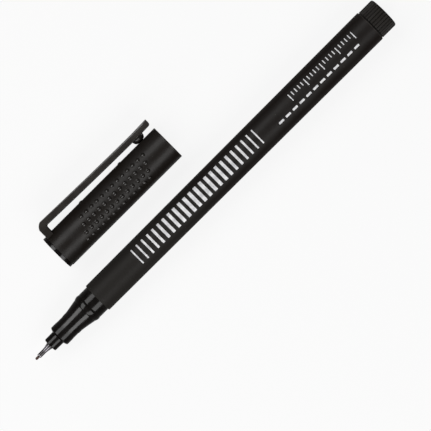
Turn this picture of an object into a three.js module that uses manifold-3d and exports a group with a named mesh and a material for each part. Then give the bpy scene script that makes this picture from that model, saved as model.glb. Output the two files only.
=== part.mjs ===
// A slim permanent marker with a fibre nib, lying on a table with its cap taken off beside it.
// Sizes are in millimetres. x runs along the pen from the nib to the rear end, y points from
// the pen to the cap, and z points up from the table.

import * as THREE from "three";
import { mergeVertices } from "three/addons/utils/BufferGeometryUtils.js";
import Module from "manifold-3d";

const wasm = await Module();
wasm.setup();

// Clearances between pieces that fit together
const pressFit = 0.05; // on the radius, where a piece is pushed into another and stays
const slideFit = 0.1; // on the radius, where the cap slides over the pen
const restGap = 0.3; // endwise, where one piece stops short of the next

// Nib, its steel sleeve and its holder
const nibDiameter = 0.55;
const nibRodDiameter = 1.2;
const nibShow = 1.1;
const nibSoak = 4;
const sleeveDiameter = 1.04;
const sleeveTailDiameter = 1.96;
const sleeveWall = 0.18;
const sleeveShow = 3.9;
const sleeveFlare = 1.7;
const sleeveFlareBend = 0.93;
const sleeveTail = 3;
const noseFrontDiameter = 3.66;
const noseRearDiameter = 3.78;
const noseShow = 2.85;
const noseEdge = 0.25;
const holderShank = 5.2;

// Grip section, from its front rim to the spigot in the barrel
const sectionRimDiameter = 5.78;
const sectionWaistDiameter = 5.68;
const sectionHeelDiameter = 5.88;
const sectionWall = 1.2;
const sectionShoulder = 0.3;
const sectionChamfer = 0.5;
const rimLength = 0.95;
const rimToWaist = 1.15;
const waistLength = 1.15;
const waistToHeel = 0.85;
const heelLength = 1.15;
const coneLength = 4.45;
const coneKnee = 3.03;
const coneKneeDiameter = 6.94;
const beadHeight = 0.09;
const beadFlat = 0.4;
const neckDiameter = 7.59;
const neckLength = 3.35;
const sectionSpigot = 5.5;
const spigotWall = 1;

// Barrel and rear plug
const barrelFrontDiameter = 8.38;
const barrelRearDiameter = 9.03;
const barrelWall = 0.9;
const barrelLength = 96.4;
const barrelEdge = 0.25;
const plugDiameter = 8.65;
const plugCollarDiameter = 8.2;
const plugCollar = 0.25;
const plugLength = 4.9;
const plugEdge = 0.45;
const plugDome = 0.12;
const plugLead = 0.1;
const plugFaceDiameter = 5;
const plugSpigot = 5;
const ribCount = 32;
const ribDepth = 0.2;

// Ink store
const filmThickness = 0.12;
const filmAirGap = 0.35;

// Cap, measured from its closed end to its mouth
const capDiameter = 9.88;
const capLength = 39.3;
const capMouthEdge = 0.1;
const capMouthLead = 0.3;
const endDiscDiameter = 9.52;
const endDiscThickness = 0.75;
const endDiscEdge = 0.12;
const endGrooveDiameter = 9.1;
const endGroove = 0.12;
const endSpigot = 3.2;
const linerWall = 0.65;
const linerWeb = 0.8;
const linerRing = 1.5;
const linerGrip = 4;
const nibRoom = 2.5;

// Grip bumps, in slanted rows on both sides of the cap
const bumpDiameter = 1.1;
const bumpHeight = 0.12;
const bumpRoot = 0.2;
const bumpPitch = 1.8;
const bumpsInRow = 13;
const rowsPerSide = 4;
const rowAngle = 21.8;
const rowShift = 0.9;
const firstRowAngle = -25.4;
const firstBump = 10.9;

// Clip
const clipThickness = 1.65;
const clipRootWidth = 6;
const clipTipWidth = 4.4;
const clipArm = 1.98;
const clipArmStart = 0.97;
const clipOverhang = 0.1;
const clipRootGap = 1.81;
const clipMidGap = 1.51;
const clipBossGap = 1.36;
const clipEndGap = 1.44;
const clipOuterBend = 1.6;
const clipInnerBend = 0.5;
const clipTipRadius = 1;
const clipEdge = 0.2;
const bossDiameter = 3.45;
const bossFromEnd = 4.6;
const bossRoot = 0.4;
const bossClearance = 0.1;
const tongueLength = 1.1;
const tongueWidth = 3;
const tongueDepth = 0.6;

// Where the cap lies beside the pen
const capAside = 15.1;
const capBack = 22.55;

// How finely the round shapes are cut
const roundSides = 32;
const smallSides = 20;
const bumpSides = 5;
const quarterSteps = 3;
const curveSteps = 4;
const roundingSteps = 2;
const ballRings = 12;
const bladeSteps = 7;
const ribSides = 4; // sides of the plug's head to each rib

// Stations along the pen, from the nib's tip
const sleeveX = nibShow;
const noseX = sleeveX + sleeveShow;
const sectionX = noseX + noseShow;
const rimX = sectionX + sectionChamfer;
const waistX = rimX + rimLength + rimToWaist;
const heelX = waistX + waistLength + waistToHeel;
const coneX = heelX + heelLength;
const beadX = coneX + coneLength;
const neckX = beadX + beadFlat;
const barrelX = neckX + neckLength;
const plugX = barrelX + barrelLength;
const penLength = plugX + plugLength;

// Radii that follow from the sizes above
const sectionBore = sectionWaistDiameter / 2 - sectionWall;
const beadRadius = neckDiameter / 2 + beadHeight;
const barrelBore = barrelFrontDiameter / 2 - barrelWall;
const spigotRadius = barrelBore - pressFit;
const sectionChamber = spigotRadius - spigotWall;
const holderRadius = sectionBore - pressFit;
const holderBore = sleeveTailDiameter / 2 + pressFit;
const filmRadius = barrelBore - filmAirGap;
const fibreRadius = filmRadius - filmThickness - pressFit;
const capRadius = capDiameter / 2;
const capBore = beadRadius + slideFit;
const linerBore = sectionHeelDiameter / 2 + slideFit;
const penHeight = Math.max(barrelRearDiameter, plugDiameter) / 2;
const capHeight = capRadius + bumpHeight;

// A profile is a list of [along, radius] points.
function arc(along, radius, reach, from, to, steps = quarterSteps) {
  const points = [];
  for (let i = 0; i <= steps; i += 1) {
    const angle = from + ((to - from) * i) / steps;
    points.push([along + reach * Math.cos(angle), radius + reach * Math.sin(angle)]);
  }
  return points;
}

// Turns a profile about the x axis. It starts and ends on the axis, or closes on itself.
function turned(profile, sides = roundSides) {
  const first = profile[0];
  const closes = first[1] === 0 ? [] : [first];
  const points = [...profile, ...closes].map(([along, radius]) => new THREE.Vector2(radius, along));
  const geometry = new THREE.LatheGeometry(points, sides);
  geometry.rotateZ(-Math.PI / 2);
  return geometry;
}

function toSolid(geometry) {
  const bare = geometry.clone();
  bare.deleteAttribute("normal");
  bare.deleteAttribute("uv");
  const merged = mergeVertices(bare, 1e-4);
  return new wasm.Manifold(
    new wasm.Mesh({
      numProp: 3,
      vertProperties: new Float32Array(merged.attributes.position.array),
      triVerts: new Uint32Array(merged.index.array),
    }),
  );
}

function toGeometry(solid) {
  const mesh = solid.getMesh();
  const geometry = new THREE.BufferGeometry();
  geometry.setAttribute("position", new THREE.BufferAttribute(new Float32Array(mesh.vertProperties), 3));
  geometry.setIndex(new THREE.BufferAttribute(new Uint32Array(mesh.triVerts), 1));
  const flat = geometry.toNonIndexed();
  flat.computeVertexNormals();
  return flat;
}

function finish(color, roughness, metalness = 0) {
  return new THREE.MeshStandardMaterial({ color, roughness, metalness });
}

const softBlack = finish(0x262324, 0.6);
const glossBlack = finish(0x0e0d0e, 0.12);
const satinBlack = finish(0x33302e, 0.4);
const steel = finish(0xc9c6c1, 0.22, 1);
const inkedFibre = finish(0x241a18, 0.9);
const storeFibre = finish(0x1c1a22, 0.95);
const clearFilm = finish(0xd8dade, 0.3);
const whiteLiner = finish(0xe6e6e2, 0.5);

function addPiece(group, name, geometry, material) {
  const mesh = new THREE.Mesh(geometry, material);
  mesh.name = name;
  group.add(mesh);
}

// Pen pieces

function nibGeometry() {
  const tip = nibDiameter / 2;
  const rod = nibRodDiameter / 2;
  const stepX = noseX + sleeveWall;
  return turned(
    [
      [0, 0],
      ...arc(tip, 0, tip, Math.PI, Math.PI / 2).slice(1),
      [stepX, tip],
      [stepX + rod - tip, rod],
      [barrelX + sectionSpigot + restGap + nibSoak, rod],
      [barrelX + sectionSpigot + restGap + nibSoak, 0],
    ],
    smallSides,
  );
}

// The tube flares like a trumpet into the nose. Its outside and inside follow one curve.
function sleeveGeometry() {
  const front = sleeveDiameter / 2;
  const tail = sleeveTailDiameter / 2;
  const flareX = noseX - sleeveFlare;
  const endX = noseX + sleeveTail;
  const flare = new THREE.QuadraticBezierCurve(
    new THREE.Vector2(flareX, front),
    new THREE.Vector2(noseX - sleeveFlareBend, front),
    new THREE.Vector2(noseX, tail),
  );
  const outside = flare.getPoints(curveSteps).map((p) => [p.x, p.y]);
  const inside = outside.map(([along, radius]) => [along + sleeveWall, radius - sleeveWall]);
  return turned(
    [
      [sleeveX, front - sleeveWall],
      [sleeveX, front],
      ...outside,
      [endX, tail],
      [endX, tail - sleeveWall],
      ...inside.reverse(),
    ],
    smallSides,
  );
}

function holderGeometry() {
  const endX = sectionX + holderShank;
  const passX = noseX + sleeveTail + restGap;
  const pass = nibRodDiameter / 2 + slideFit;
  const front = noseFrontDiameter / 2;
  return turned([
    [noseX, holderBore],
    ...arc(noseX + noseEdge, front - noseEdge, noseEdge, Math.PI, Math.PI / 2),
    [sectionX, noseRearDiameter / 2],
    [sectionX, holderRadius],
    [endX, holderRadius],
    [endX, pass],
    [passX, pass],
    [passX, holderBore],
  ]);
}

function sectionGeometry() {
  const rim = sectionRimDiameter / 2;
  const waist = sectionWaistDiameter / 2;
  const heel = sectionHeelDiameter / 2;
  const neck = neckDiameter / 2;
  const chamberX = sectionX + holderShank + restGap;
  const endX = barrelX + sectionSpigot;
  const cone = new THREE.QuadraticBezierCurve(
    new THREE.Vector2(coneX, heel),
    new THREE.Vector2(coneX + coneKnee, coneKneeDiameter / 2),
    new THREE.Vector2(beadX, beadRadius),
  );
  return turned([
    [sectionX, sectionBore],
    [sectionX, noseRearDiameter / 2 + slideFit],
    [sectionX + sectionShoulder, rim - (sectionChamfer - sectionShoulder)],
    [rimX, rim],
    [rimX + rimLength, rim],
    [waistX, waist],
    [waistX + waistLength, waist],
    [heelX, heel],
    ...cone.getPoints(curveSteps).map((p) => [p.x, p.y]),
    ...arc(neckX, neck, beadHeight, Math.PI / 2, 0, roundingSteps),
    [barrelX, neck],
    [barrelX, spigotRadius],
    [endX, spigotRadius],
    [endX, sectionChamber],
    [chamberX, sectionChamber],
    [chamberX, sectionBore],
  ]);
}

function barrelGeometry() {
  const front = barrelFrontDiameter / 2;
  const rear = barrelRearDiameter / 2;
  return turned([
    [barrelX, barrelBore],
    ...arc(barrelX + barrelEdge, front - barrelEdge, barrelEdge, Math.PI, Math.PI / 2),
    ...arc(plugX - barrelEdge, rear - barrelEdge, barrelEdge, Math.PI / 2, 0),
    [plugX, barrelBore],
  ]);
}

function fibreGeometry() {
  const frontX = barrelX + sectionSpigot + restGap;
  const pocketX = frontX + nibSoak + restGap;
  const pocket = nibRodDiameter / 2 + slideFit;
  const rearX = plugX - plugSpigot - restGap;
  return turned(
    [
      [pocketX, 0],
      [pocketX, pocket],
      [frontX, pocket],
      [frontX, fibreRadius],
      [rearX, fibreRadius],
      [rearX, 0],
    ],
    smallSides,
  );
}

function filmGeometry() {
  const frontX = barrelX + sectionSpigot + restGap;
  const rearX = plugX - plugSpigot - restGap;
  return turned(
    [
      [frontX, filmRadius - filmThickness],
      [frontX, filmRadius],
      [rearX, filmRadius],
      [rearX, filmRadius - filmThickness],
    ],
    smallSides,
  );
}

// Every fourth side of the ribbed head is drawn in, which leaves a V groove between two ribs.
function plugGeometry() {
  const head = plugDiameter / 2;
  const ribX = plugX + plugCollar;
  const ribbed = turned(
    [
      [ribX, 0],
      [ribX, head],
      ...arc(penLength - plugDome - plugEdge, head - plugEdge, plugEdge, Math.PI / 2, 0, roundingSteps),
      [penLength, plugFaceDiameter / 2],
      [penLength, 0],
    ],
    ribCount * ribSides,
  );
  const place = ribbed.attributes.position;
  for (let i = 0; i < place.count; i += 1) {
    const y = place.getY(i);
    const z = place.getZ(i);
    const radius = Math.hypot(y, z);
    const side = Math.round((Math.atan2(z, y) / (2 * Math.PI)) * ribCount * ribSides);
    if (radius > head - plugEdge / 2 && side % ribSides === 0) {
      place.setY(i, (y * (head - ribDepth)) / head);
      place.setZ(i, (z * (head - ribDepth)) / head);
    }
  }
  const core = turned([
    [plugX - plugSpigot, 0],
    [plugX - plugSpigot, spigotRadius - plugLead],
    [plugX - plugSpigot + plugLead, spigotRadius],
    [plugX, spigotRadius],
    [plugX, plugCollarDiameter / 2],
    [ribX + plugCollar, plugCollarDiameter / 2],
    [ribX + plugCollar, 0],
  ]);
  return toGeometry(toSolid(ribbed).add(toSolid(core)));
}

// Cap pieces, with x measured from the closed end

const shellX = endDiscThickness + endGroove;
const seatX = capLength - barrelX; // where the nib's tip comes to lie when the cap is on
const linerMouthX = seatX + rimX + linerGrip;
const linerBaseX = seatX - nibRoom;
const linerRearX = shellX + endSpigot + restGap;
const clipEndX = capLength - clipOverhang;
const bossX = clipEndX - bossFromEnd;

function bumpGeometry() {
  const radius = bumpDiameter / 2;
  const bump = turned(
    [
      [-bumpRoot, 0],
      [-bumpRoot, radius],
      [0, radius],
      [bumpHeight * Math.SQRT1_2, radius * Math.SQRT1_2],
      [bumpHeight, 0],
    ],
    bumpSides,
  );
  bump.rotateY(-Math.PI / 2);
  bump.translate(0, 0, capRadius);
  return bump;
}

// The angle is counted from the top of the cap, towards the side away from the clip.
function bumpAt(along, degrees) {
  const bump = bumpGeometry();
  bump.rotateX(THREE.MathUtils.degToRad(degrees));
  bump.translate(along, 0, 0);
  return toSolid(bump);
}

// The clip's foot reaches into the shell through a notch that is open at the closed end.
function clipSlot() {
  const length = clipArmStart + (clipArm + tongueLength) / 2 + restGap;
  const slot = new THREE.BoxGeometry(length, capRadius, tongueWidth + 2 * restGap);
  slot.translate(length / 2, capRadius, 0);
  return slot;
}

function shellGeometry() {
  const plain = turned([
    [shellX, capBore],
    [shellX, capRadius],
    [capLength - capMouthEdge, capRadius],
    [capLength, capRadius - capMouthEdge],
    [capLength, capBore + capMouthLead],
    [capLength - capMouthLead, capBore],
  ]);
  let shell = toSolid(plain).subtract(toSolid(clipSlot()));
  for (let row = 0; row < rowsPerSide; row += 1) {
    const degrees = firstRowAngle + row * rowAngle;
    for (let i = 0; i < bumpsInRow; i += 1) {
      const along = firstBump - row * rowShift + i * bumpPitch;
      shell = shell.add(bumpAt(along, degrees)).add(bumpAt(along, 180 - degrees));
    }
  }
  return toGeometry(shell);
}

function endPlugGeometry() {
  const disc = endDiscDiameter / 2;
  const spigot = capBore - pressFit;
  return turned([
    [0, 0],
    [0, disc - endDiscEdge],
    [endDiscEdge, disc],
    [endDiscThickness - endDiscEdge, disc],
    [endDiscThickness, disc - endDiscEdge],
    [endDiscThickness, endGrooveDiameter / 2],
    [shellX, endGrooveDiameter / 2],
    [shellX, spigot],
    [shellX + endSpigot, spigot],
    [shellX + endSpigot, 0],
  ]);
}

// A tube with a web across it. Two rings hold it in the cap's bore.
function linerGeometry() {
  const ring = capBore - pressFit;
  const wall = linerBore + linerWall;
  return turned([
    [linerBaseX - linerWeb, 0],
    [linerBaseX - linerWeb, linerBore],
    [linerRearX, linerBore],
    [linerRearX, ring],
    [linerRearX + linerRing, ring],
    [linerRearX + linerRing + (ring - wall), wall],
    [linerMouthX - linerRing - (ring - wall), wall],
    [linerMouthX - linerRing, ring],
    [linerMouthX, ring],
    [linerMouthX, linerBore],
    [linerBaseX, linerBore],
    [linerBaseX, 0],
  ]);
}

// The clip's side view: an arm out of the shell, a bend, and a long tongue back to the mouth.
function clipOutline() {
  const armEnd = clipArmStart + clipArm;
  const gaps = new THREE.SplineCurve([
    new THREE.Vector2(armEnd + clipInnerBend, clipRootGap),
    new THREE.Vector2((armEnd + bossX) / 2, clipMidGap),
    new THREE.Vector2(bossX, clipBossGap),
    new THREE.Vector2(clipEndX - clipTipRadius, clipEndGap),
  ]);
  const under = gaps.getPoints(bladeSteps).map((p) => new THREE.Vector2(p.x, capRadius + p.y));
  const bendY = under[0].y - clipInnerBend;
  const tipY = capRadius + clipEndGap;
  const rootTop = under[0].y + clipThickness;
  const outline = new THREE.Shape();
  outline.moveTo(clipArmStart, 0);
  outline.lineTo(armEnd, 0);
  outline.absarc(armEnd + clipInnerBend, bendY, clipInnerBend, Math.PI, Math.PI / 2, true);
  under.slice(1).forEach((p) => outline.lineTo(p.x, p.y));
  outline.absarc(clipEndX - clipTipRadius, tipY + clipTipRadius, clipTipRadius, -Math.PI / 2, 0, false);
  outline.lineTo(clipEndX, tipY + clipThickness);
  under.slice(1).reverse().forEach((p) => outline.lineTo(p.x, p.y + clipThickness));
  const outerBendX = clipArmStart + clipOuterBend;
  outline.absarc(outerBendX, rootTop - clipOuterBend, clipOuterBend, Math.PI / 2, Math.PI, false);
  return outline;
}

// The outline is drawn out to a half width of 1, then each point takes the half width at its x.
function bladeGeometry() {
  const edgeShare = clipEdge / (clipRootWidth / 2);
  const blade = new THREE.ExtrudeGeometry(clipOutline(), {
    depth: 2 * (1 - edgeShare),
    curveSegments: 3,
    bevelThickness: edgeShare,
    bevelSize: clipEdge,
    bevelOffset: -clipEdge,
    bevelSegments: 1,
  });
  blade.translate(0, 0, edgeShare - 1);
  const place = blade.attributes.position;
  for (let i = 0; i < place.count; i += 1) {
    const share = place.getX(i) / capLength;
    const half = (clipRootWidth + (clipTipWidth - clipRootWidth) * share) / 2;
    place.setZ(i, place.getZ(i) * half);
  }
  return blade;
}

// A round button under the blade, cut from a ball that all but touches the shell
function bossSolid() {
  const base = bossDiameter / 2;
  const height = clipBossGap - bossClearance;
  const radius = (base * base + height * height) / (2 * height);
  const ball = new THREE.SphereGeometry(radius, smallSides, ballRings);
  ball.translate(bossX, capRadius + bossClearance + radius, 0);
  const kept = height + bossRoot;
  const room = new THREE.BoxGeometry(3 * base, kept, 3 * base);
  room.translate(bossX, capRadius + bossClearance + kept / 2, 0);
  return toSolid(ball).intersect(toSolid(room));
}

function clipGeometry() {
  const shellRoom = turned([
    [-capLength, 0],
    [-capLength, capRadius + restGap],
    [capLength / 2, capRadius + restGap],
    [capLength / 2, 0],
  ]);
  const tongueHeight = clipRootGap + tongueDepth;
  const tongue = new THREE.BoxGeometry(tongueLength, tongueHeight, tongueWidth);
  tongue.translate(clipArmStart + clipArm / 2, capRadius - tongueDepth + tongueHeight / 2, 0);
  const arm = toSolid(bladeGeometry()).subtract(toSolid(shellRoom));
  return toGeometry(arm.add(toSolid(tongue)).add(bossSolid()));
}

const pen = new THREE.Group();
pen.position.z = penHeight;
addPiece(pen, "barrel", barrelGeometry(), softBlack);
addPiece(pen, "rear_plug", plugGeometry(), softBlack);
addPiece(pen, "grip_section", sectionGeometry(), glossBlack);
addPiece(pen, "nib_holder", holderGeometry(), glossBlack);
addPiece(pen, "nib_sleeve", sleeveGeometry(), steel);
addPiece(pen, "fibre_nib", nibGeometry(), inkedFibre);
addPiece(pen, "ink_reservoir", fibreGeometry(), storeFibre);
addPiece(pen, "reservoir_film", filmGeometry(), clearFilm);

const cap = new THREE.Group();
cap.position.set(capBack, capAside, capHeight);
addPiece(cap, "cap_shell", shellGeometry(), softBlack);
addPiece(cap, "cap_end_plug", endPlugGeometry(), glossBlack);
addPiece(cap, "inner_cap", linerGeometry(), whiteLiner);
addPiece(cap, "clip", clipGeometry(), satinBlack);

// The origin lies on the table, under the middle of the pen and its cap.
const clipReach = capRadius + clipRootGap + clipThickness;
const marker = new THREE.Group();
marker.position.set(-penLength / 2, (penHeight - capAside - clipReach) / 2, 0);
marker.add(pen, cap);

export default marker;
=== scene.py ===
"""A slim permanent marker lying on a pale floor, with its cap taken off and laid beside it.

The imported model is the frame. Lengths are in metres, the pen runs along x from its nib to its rear
end, and the cap lies towards +y. What a piece replaces gives it its place; its finer sizes are the
named values of its own class. The patterns of a finish are sized in millimetres.
"""

import logging
import math
from dataclasses import dataclass, field
from enum import Enum
from functools import partial
from typing import Callable, ClassVar

import bmesh
import bpy
from mathutils import Matrix, Vector


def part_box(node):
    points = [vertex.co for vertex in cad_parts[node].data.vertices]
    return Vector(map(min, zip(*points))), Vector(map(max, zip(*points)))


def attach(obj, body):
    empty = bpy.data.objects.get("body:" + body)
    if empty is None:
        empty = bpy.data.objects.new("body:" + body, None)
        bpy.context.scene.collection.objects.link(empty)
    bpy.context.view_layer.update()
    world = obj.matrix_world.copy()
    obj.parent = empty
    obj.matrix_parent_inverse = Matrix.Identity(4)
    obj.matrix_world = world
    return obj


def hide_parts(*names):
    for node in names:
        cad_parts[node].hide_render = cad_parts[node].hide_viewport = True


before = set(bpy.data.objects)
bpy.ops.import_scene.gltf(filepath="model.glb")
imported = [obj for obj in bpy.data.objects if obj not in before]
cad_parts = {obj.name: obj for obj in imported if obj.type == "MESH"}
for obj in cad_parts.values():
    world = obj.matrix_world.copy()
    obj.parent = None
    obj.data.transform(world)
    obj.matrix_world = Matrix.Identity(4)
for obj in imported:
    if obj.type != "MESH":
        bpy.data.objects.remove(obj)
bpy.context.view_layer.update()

log = logging.getLogger("marker")

MM = 0.001
PRESS = 0.05 * MM  # on the radius, where a piece is pushed into another and stays
STOP = 0.3 * MM  # endwise, where one piece stops short of the next
NOISE = (0.3, 0.7)  # where nearly all values of a noise lie
WHOLE = (0.0, 1.0)  # where the values of patches and of other shares lie
Colour = tuple[float, float, float, float]
Point = tuple[float, float]  # the place along a turned outline, and the radius there
Span = tuple[float, float]  # from one value to another
Place = tuple[float, float, float]
Piece = bpy.types.Object
Socket = bpy.types.NodeSocket
Tree = bpy.types.NodeTree


class Part(Enum):
    """What edit mode selects."""

    VERTEX = "VERT"
    EDGE = "EDGE"
    FACE = "FACE"


class Body(Enum):
    """The bodies that pieces ride on."""

    PEN = "pen"
    CAP = "cap"
    CLIP = "clip"


def srgb(red: int, green: int, blue: int) -> Colour:
    """A colour given as it looks on a screen.

    Args:
        red, green, blue: the screen values, from 0 to 255.

    Returns:
        The same colour as shaders take it.
    """
    shares = (value / 255 for value in (red, green, blue))
    linear = [s / 12.92 if s <= 0.04045 else ((s + 0.055) / 1.055) ** 2.4 for s in shares]
    return (*linear, 1.0)


# Modelling by operators


def start_clean() -> None:
    """Leaves edit mode and deselects everything."""
    if bpy.context.object is not None and bpy.context.object.mode != "OBJECT":
        bpy.ops.object.mode_set(mode="OBJECT")
    bpy.ops.object.select_all(action="DESELECT")


def take(piece: Piece) -> None:
    """Makes a piece the only selected and the active one.

    Args:
        piece: the piece.
    """
    start_clean()
    piece.select_set(True)
    bpy.context.view_layer.objects.active = piece


def fix_place() -> None:
    """Moves the selected objects' place, turn and scale into their meshes."""
    bpy.ops.object.transform_apply(location=True, rotation=True, scale=True)


def edit(piece: Piece) -> None:
    """Opens a piece in edit mode."""
    take(piece)
    bpy.ops.object.mode_set(mode="EDIT")


def leave() -> None:
    """Closes edit mode."""
    bpy.ops.object.mode_set(mode="OBJECT")


def pick(piece: Piece, part: Part, test: Callable[..., bool]) -> None:
    """Selects, in edit mode, the vertices, edges or faces that pass a test.

    Args:
        piece: the piece that is open in edit mode.
        part: what to select.
        test: says whether one vertex, edge or face is wanted.
    """
    bpy.ops.mesh.select_mode(type=part.value)
    bpy.ops.mesh.select_all(action="DESELECT")
    shape = bmesh.from_edit_mesh(piece.data)
    found = {Part.VERTEX: shape.verts, Part.EDGE: shape.edges, Part.FACE: shape.faces}[part]
    for element in found:
        if test(element):
            element.select_set(True)
    shape.select_flush_mode()
    bmesh.update_edit_mesh(piece.data)


def close_up(merge: float = 0.0005 * MM) -> None:
    """Merges doubled vertices of the piece in edit mode and turns its faces outwards.

    Args:
        merge: how near to each other doubled vertices are.
    """
    bpy.ops.mesh.select_mode(type="VERT")
    bpy.ops.mesh.select_all(action="SELECT")
    bpy.ops.mesh.remove_doubles(threshold=merge)
    bpy.ops.mesh.normals_make_consistent(inside=False)


def apply_modifier(piece: Piece, kind: str, **settings: object) -> None:
    """Adds a modifier to a piece, sets it and applies it.

    Args:
        piece: the piece to change.
        kind: the modifier's type.
        settings: the modifier's own settings, by name.
    """
    take(piece)
    bpy.ops.object.modifier_add(type=kind)
    modifier = piece.modifiers[-1]
    for name, value in settings.items():
        setattr(modifier, name, value)
    bpy.ops.object.modifier_apply(modifier=modifier.name)


def discard(piece: Piece) -> None:
    """Removes a piece and its mesh.

    Args:
        piece: a tool or a model that is no longer needed.
    """
    mesh = piece.data
    bpy.data.objects.remove(piece)
    bpy.data.meshes.remove(mesh)


def cut(piece: Piece, tool: Piece, how: str = "DIFFERENCE") -> None:
    """Cuts a piece with a tool, or joins the two, and removes the tool."""
    apply_modifier(piece, "BOOLEAN", object=tool, operation=how, solver="EXACT")
    discard(tool)


def join(pieces: list[Piece]) -> Piece:
    """Makes several pieces one object.

    Args:
        pieces: the pieces, of which the first gives the name.

    Returns:
        The one object.
    """
    take(pieces[0])
    for other in pieces[1:]:
        other.select_set(True)
    bpy.ops.object.join()
    return pieces[0]


def smooth(piece: Piece, sharpest: float = 35.0) -> Piece:
    """Shades a piece smooth where its faces meet at less than an angle, and flat faces flat.

    Args:
        piece: the piece to shade.
        sharpest: the largest angle, in degrees, that still looks round.

    Returns:
        The same piece.
    """
    take(piece)
    bpy.ops.object.shade_smooth_by_angle(angle=math.radians(sharpest))
    apply_modifier(piece, "WEIGHTED_NORMAL", keep_sharp=True, weight=50)
    return piece


def settle(piece: Piece, place: Matrix) -> Piece:
    """Moves and turns a piece and puts its place into its mesh.

    Args:
        piece: the piece, modelled about the origin.
        place: where it goes and how it is turned.

    Returns:
        The same piece.
    """
    piece.matrix_world = place
    take(piece)
    fix_place()
    return piece


def named(piece: Piece, name: str) -> Piece:
    """Names an object and its mesh.

    Args:
        piece: the object.
        name: its new name.

    Returns:
        The same object.
    """
    piece.name = name
    piece.data.name = name
    return piece


@dataclass(frozen=True)
class Corner:
    """A corner of a turned outline, with the reach of its rounding along each side."""

    along: float
    radius: float
    rounding: float = 0.0
    steps: int = 4


def bend(start: Point, knee: Point, end: Point, steps: int) -> list[Corner]:
    """Corners along a curve that leaves start towards knee and reaches end from it.

    Args:
        start, knee, end: points as (along, radius).
        steps: how many stretches the curve has.

    Returns:
        The corners, both ends included.
    """
    corners = []
    for step in range(steps + 1):
        t = step / steps
        near, middle, far = (1 - t) ** 2, 2 * t * (1 - t), t ** 2
        along = near * start[0] + middle * knee[0] + far * end[0]
        radius = near * start[1] + middle * knee[1] + far * end[1]
        corners.append(Corner(along, radius))
    return corners


@dataclass(frozen=True)
class Lathe:
    """Turns outlines about a line parallel to x, through y and z."""

    y: float
    z: float
    sides: int

    def distance(self, place: Vector) -> float:
        """How far a point is from the line."""
        return math.hypot(place.y - self.y, place.z - self.z)

    def at(self, corner: Corner, place: Vector, slack: float = 0.002 * MM) -> bool:
        """Whether a point lies on a corner's ring."""
        close = abs(place.x - corner.along) < slack
        return close and abs(self.distance(place) - corner.radius) < slack

    def pick_ring(self, piece: Piece, corner: Corner, part: Part) -> None:
        """Selects the vertices or the edges of the ring at one corner.

        Args:
            piece: the turned piece, open in edit mode.
            corner: the corner.
            part: which of the two to select.
        """

        def on_ring(element: bmesh.types.BMVert | bmesh.types.BMEdge) -> bool:
            """Whether a vertex or an edge lies on the ring."""
            vertices = [element] if part is Part.VERTEX else element.verts
            return all(self.at(corner, vertex.co) for vertex in vertices)

        pick(piece, part, on_ring)

    def turn(self, name: str, corners: list[Corner], ring: bool = False) -> Piece:
        """Turns an outline, ring by ring, and rounds its corners.

        Args:
            name: the piece's name.
            corners: the outline, from one end to the other.
            ring: True if the outline closes on itself, as a tube's does.

        Returns:
            The turned piece, closed, with its faces outwards.
        """
        first = corners[0]
        start_clean()
        bpy.ops.mesh.primitive_circle_add(
            vertices=self.sides,
            radius=first.radius,
            location=(first.along, self.y, self.z),
            rotation=(0, math.pi / 2, 0),
        )
        piece = named(bpy.context.object, name)
        fix_place()
        edit(piece)
        bpy.ops.mesh.select_all(action="SELECT")
        before = first
        for corner in corners[1:] + ([first] if ring else []):
            step = (corner.along - before.along, 0, 0)
            bpy.ops.mesh.extrude_region_move(TRANSFORM_OT_translate={"value": step})
            growth = corner.radius / before.radius
            middle = (corner.along, self.y, self.z)
            bpy.ops.transform.resize(value=(1, growth, growth), center_override=middle)
            before = corner
        if not ring:
            for end in (corners[0], corners[-1]):
                self.pick_ring(piece, end, Part.VERTEX)
                bpy.ops.mesh.edge_face_add()
        close_up()
        for corner in corners:
            if corner.rounding:
                self.round_ring(piece, corner)
        leave()
        return piece

    def round_ring(self, piece: Piece, corner: Corner) -> None:
        """Rounds the ring of edges at one corner.

        Args:
            piece: the turned piece, open in edit mode.
            corner: the corner, with its rounding.
        """
        self.pick_ring(piece, corner, Part.EDGE)
        bpy.ops.mesh.bevel(
            offset=corner.rounding,
            segments=corner.steps,
            affect="EDGES",
            clamp_overlap=True,
        )


@dataclass(frozen=True)
class Run:
    """Where a turned node of the frame lies: its two ends, its axis and its largest radius."""

    start: float
    end: float
    y: float
    z: float
    radius: float

    @classmethod
    def of(cls, node: str) -> "Run":
        """Reads a node's run from the frame.

        Args:
            node: the node's name.

        Returns:
            Its run.
        """
        low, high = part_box(node)
        middle = (low + high) / 2
        return cls(low.x, high.x, middle.y, middle.z, (high.y - low.y) / 2)

    def lathe(self, sides: int) -> Lathe:
        """A lathe on the node's axis."""
        return Lathe(self.y, self.z, sides)


def run_of(node: str) -> Run:
    """A dataclass field that holds a node's run."""
    return field(default_factory=partial(Run.of, node))


def box_piece(name: str, low: Place, high: Place) -> Piece:
    """A block between two corners, as a cutting tool or as the start of a piece.

    Args:
        name: the block's name.
        low, high: its lowest and its highest corner.

    Returns:
        The block.
    """
    start_clean()
    low, high = Vector(low), Vector(high)
    bpy.ops.mesh.primitive_cube_add(size=1, location=(low + high) / 2, scale=high - low)
    fix_place()
    return named(bpy.context.object, name)


# Finishes


def put(tree: Tree, kind: str, sockets: dict | None = None, **settings: object) -> bpy.types.Node:
    """Adds one node.

    Args:
        tree: where it goes.
        kind: the node's type, without the word that all shader nodes start with.
        sockets: values or sources for its inputs, by name or number.
        settings: the node's own settings.

    Returns:
        The new node.
    """
    node = tree.nodes.new("ShaderNode" + kind)
    for name, value in settings.items():
        setattr(node, name, value)
    for name, value in (sockets or {}).items():
        feed(tree, node, name, value)
    return node


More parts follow.
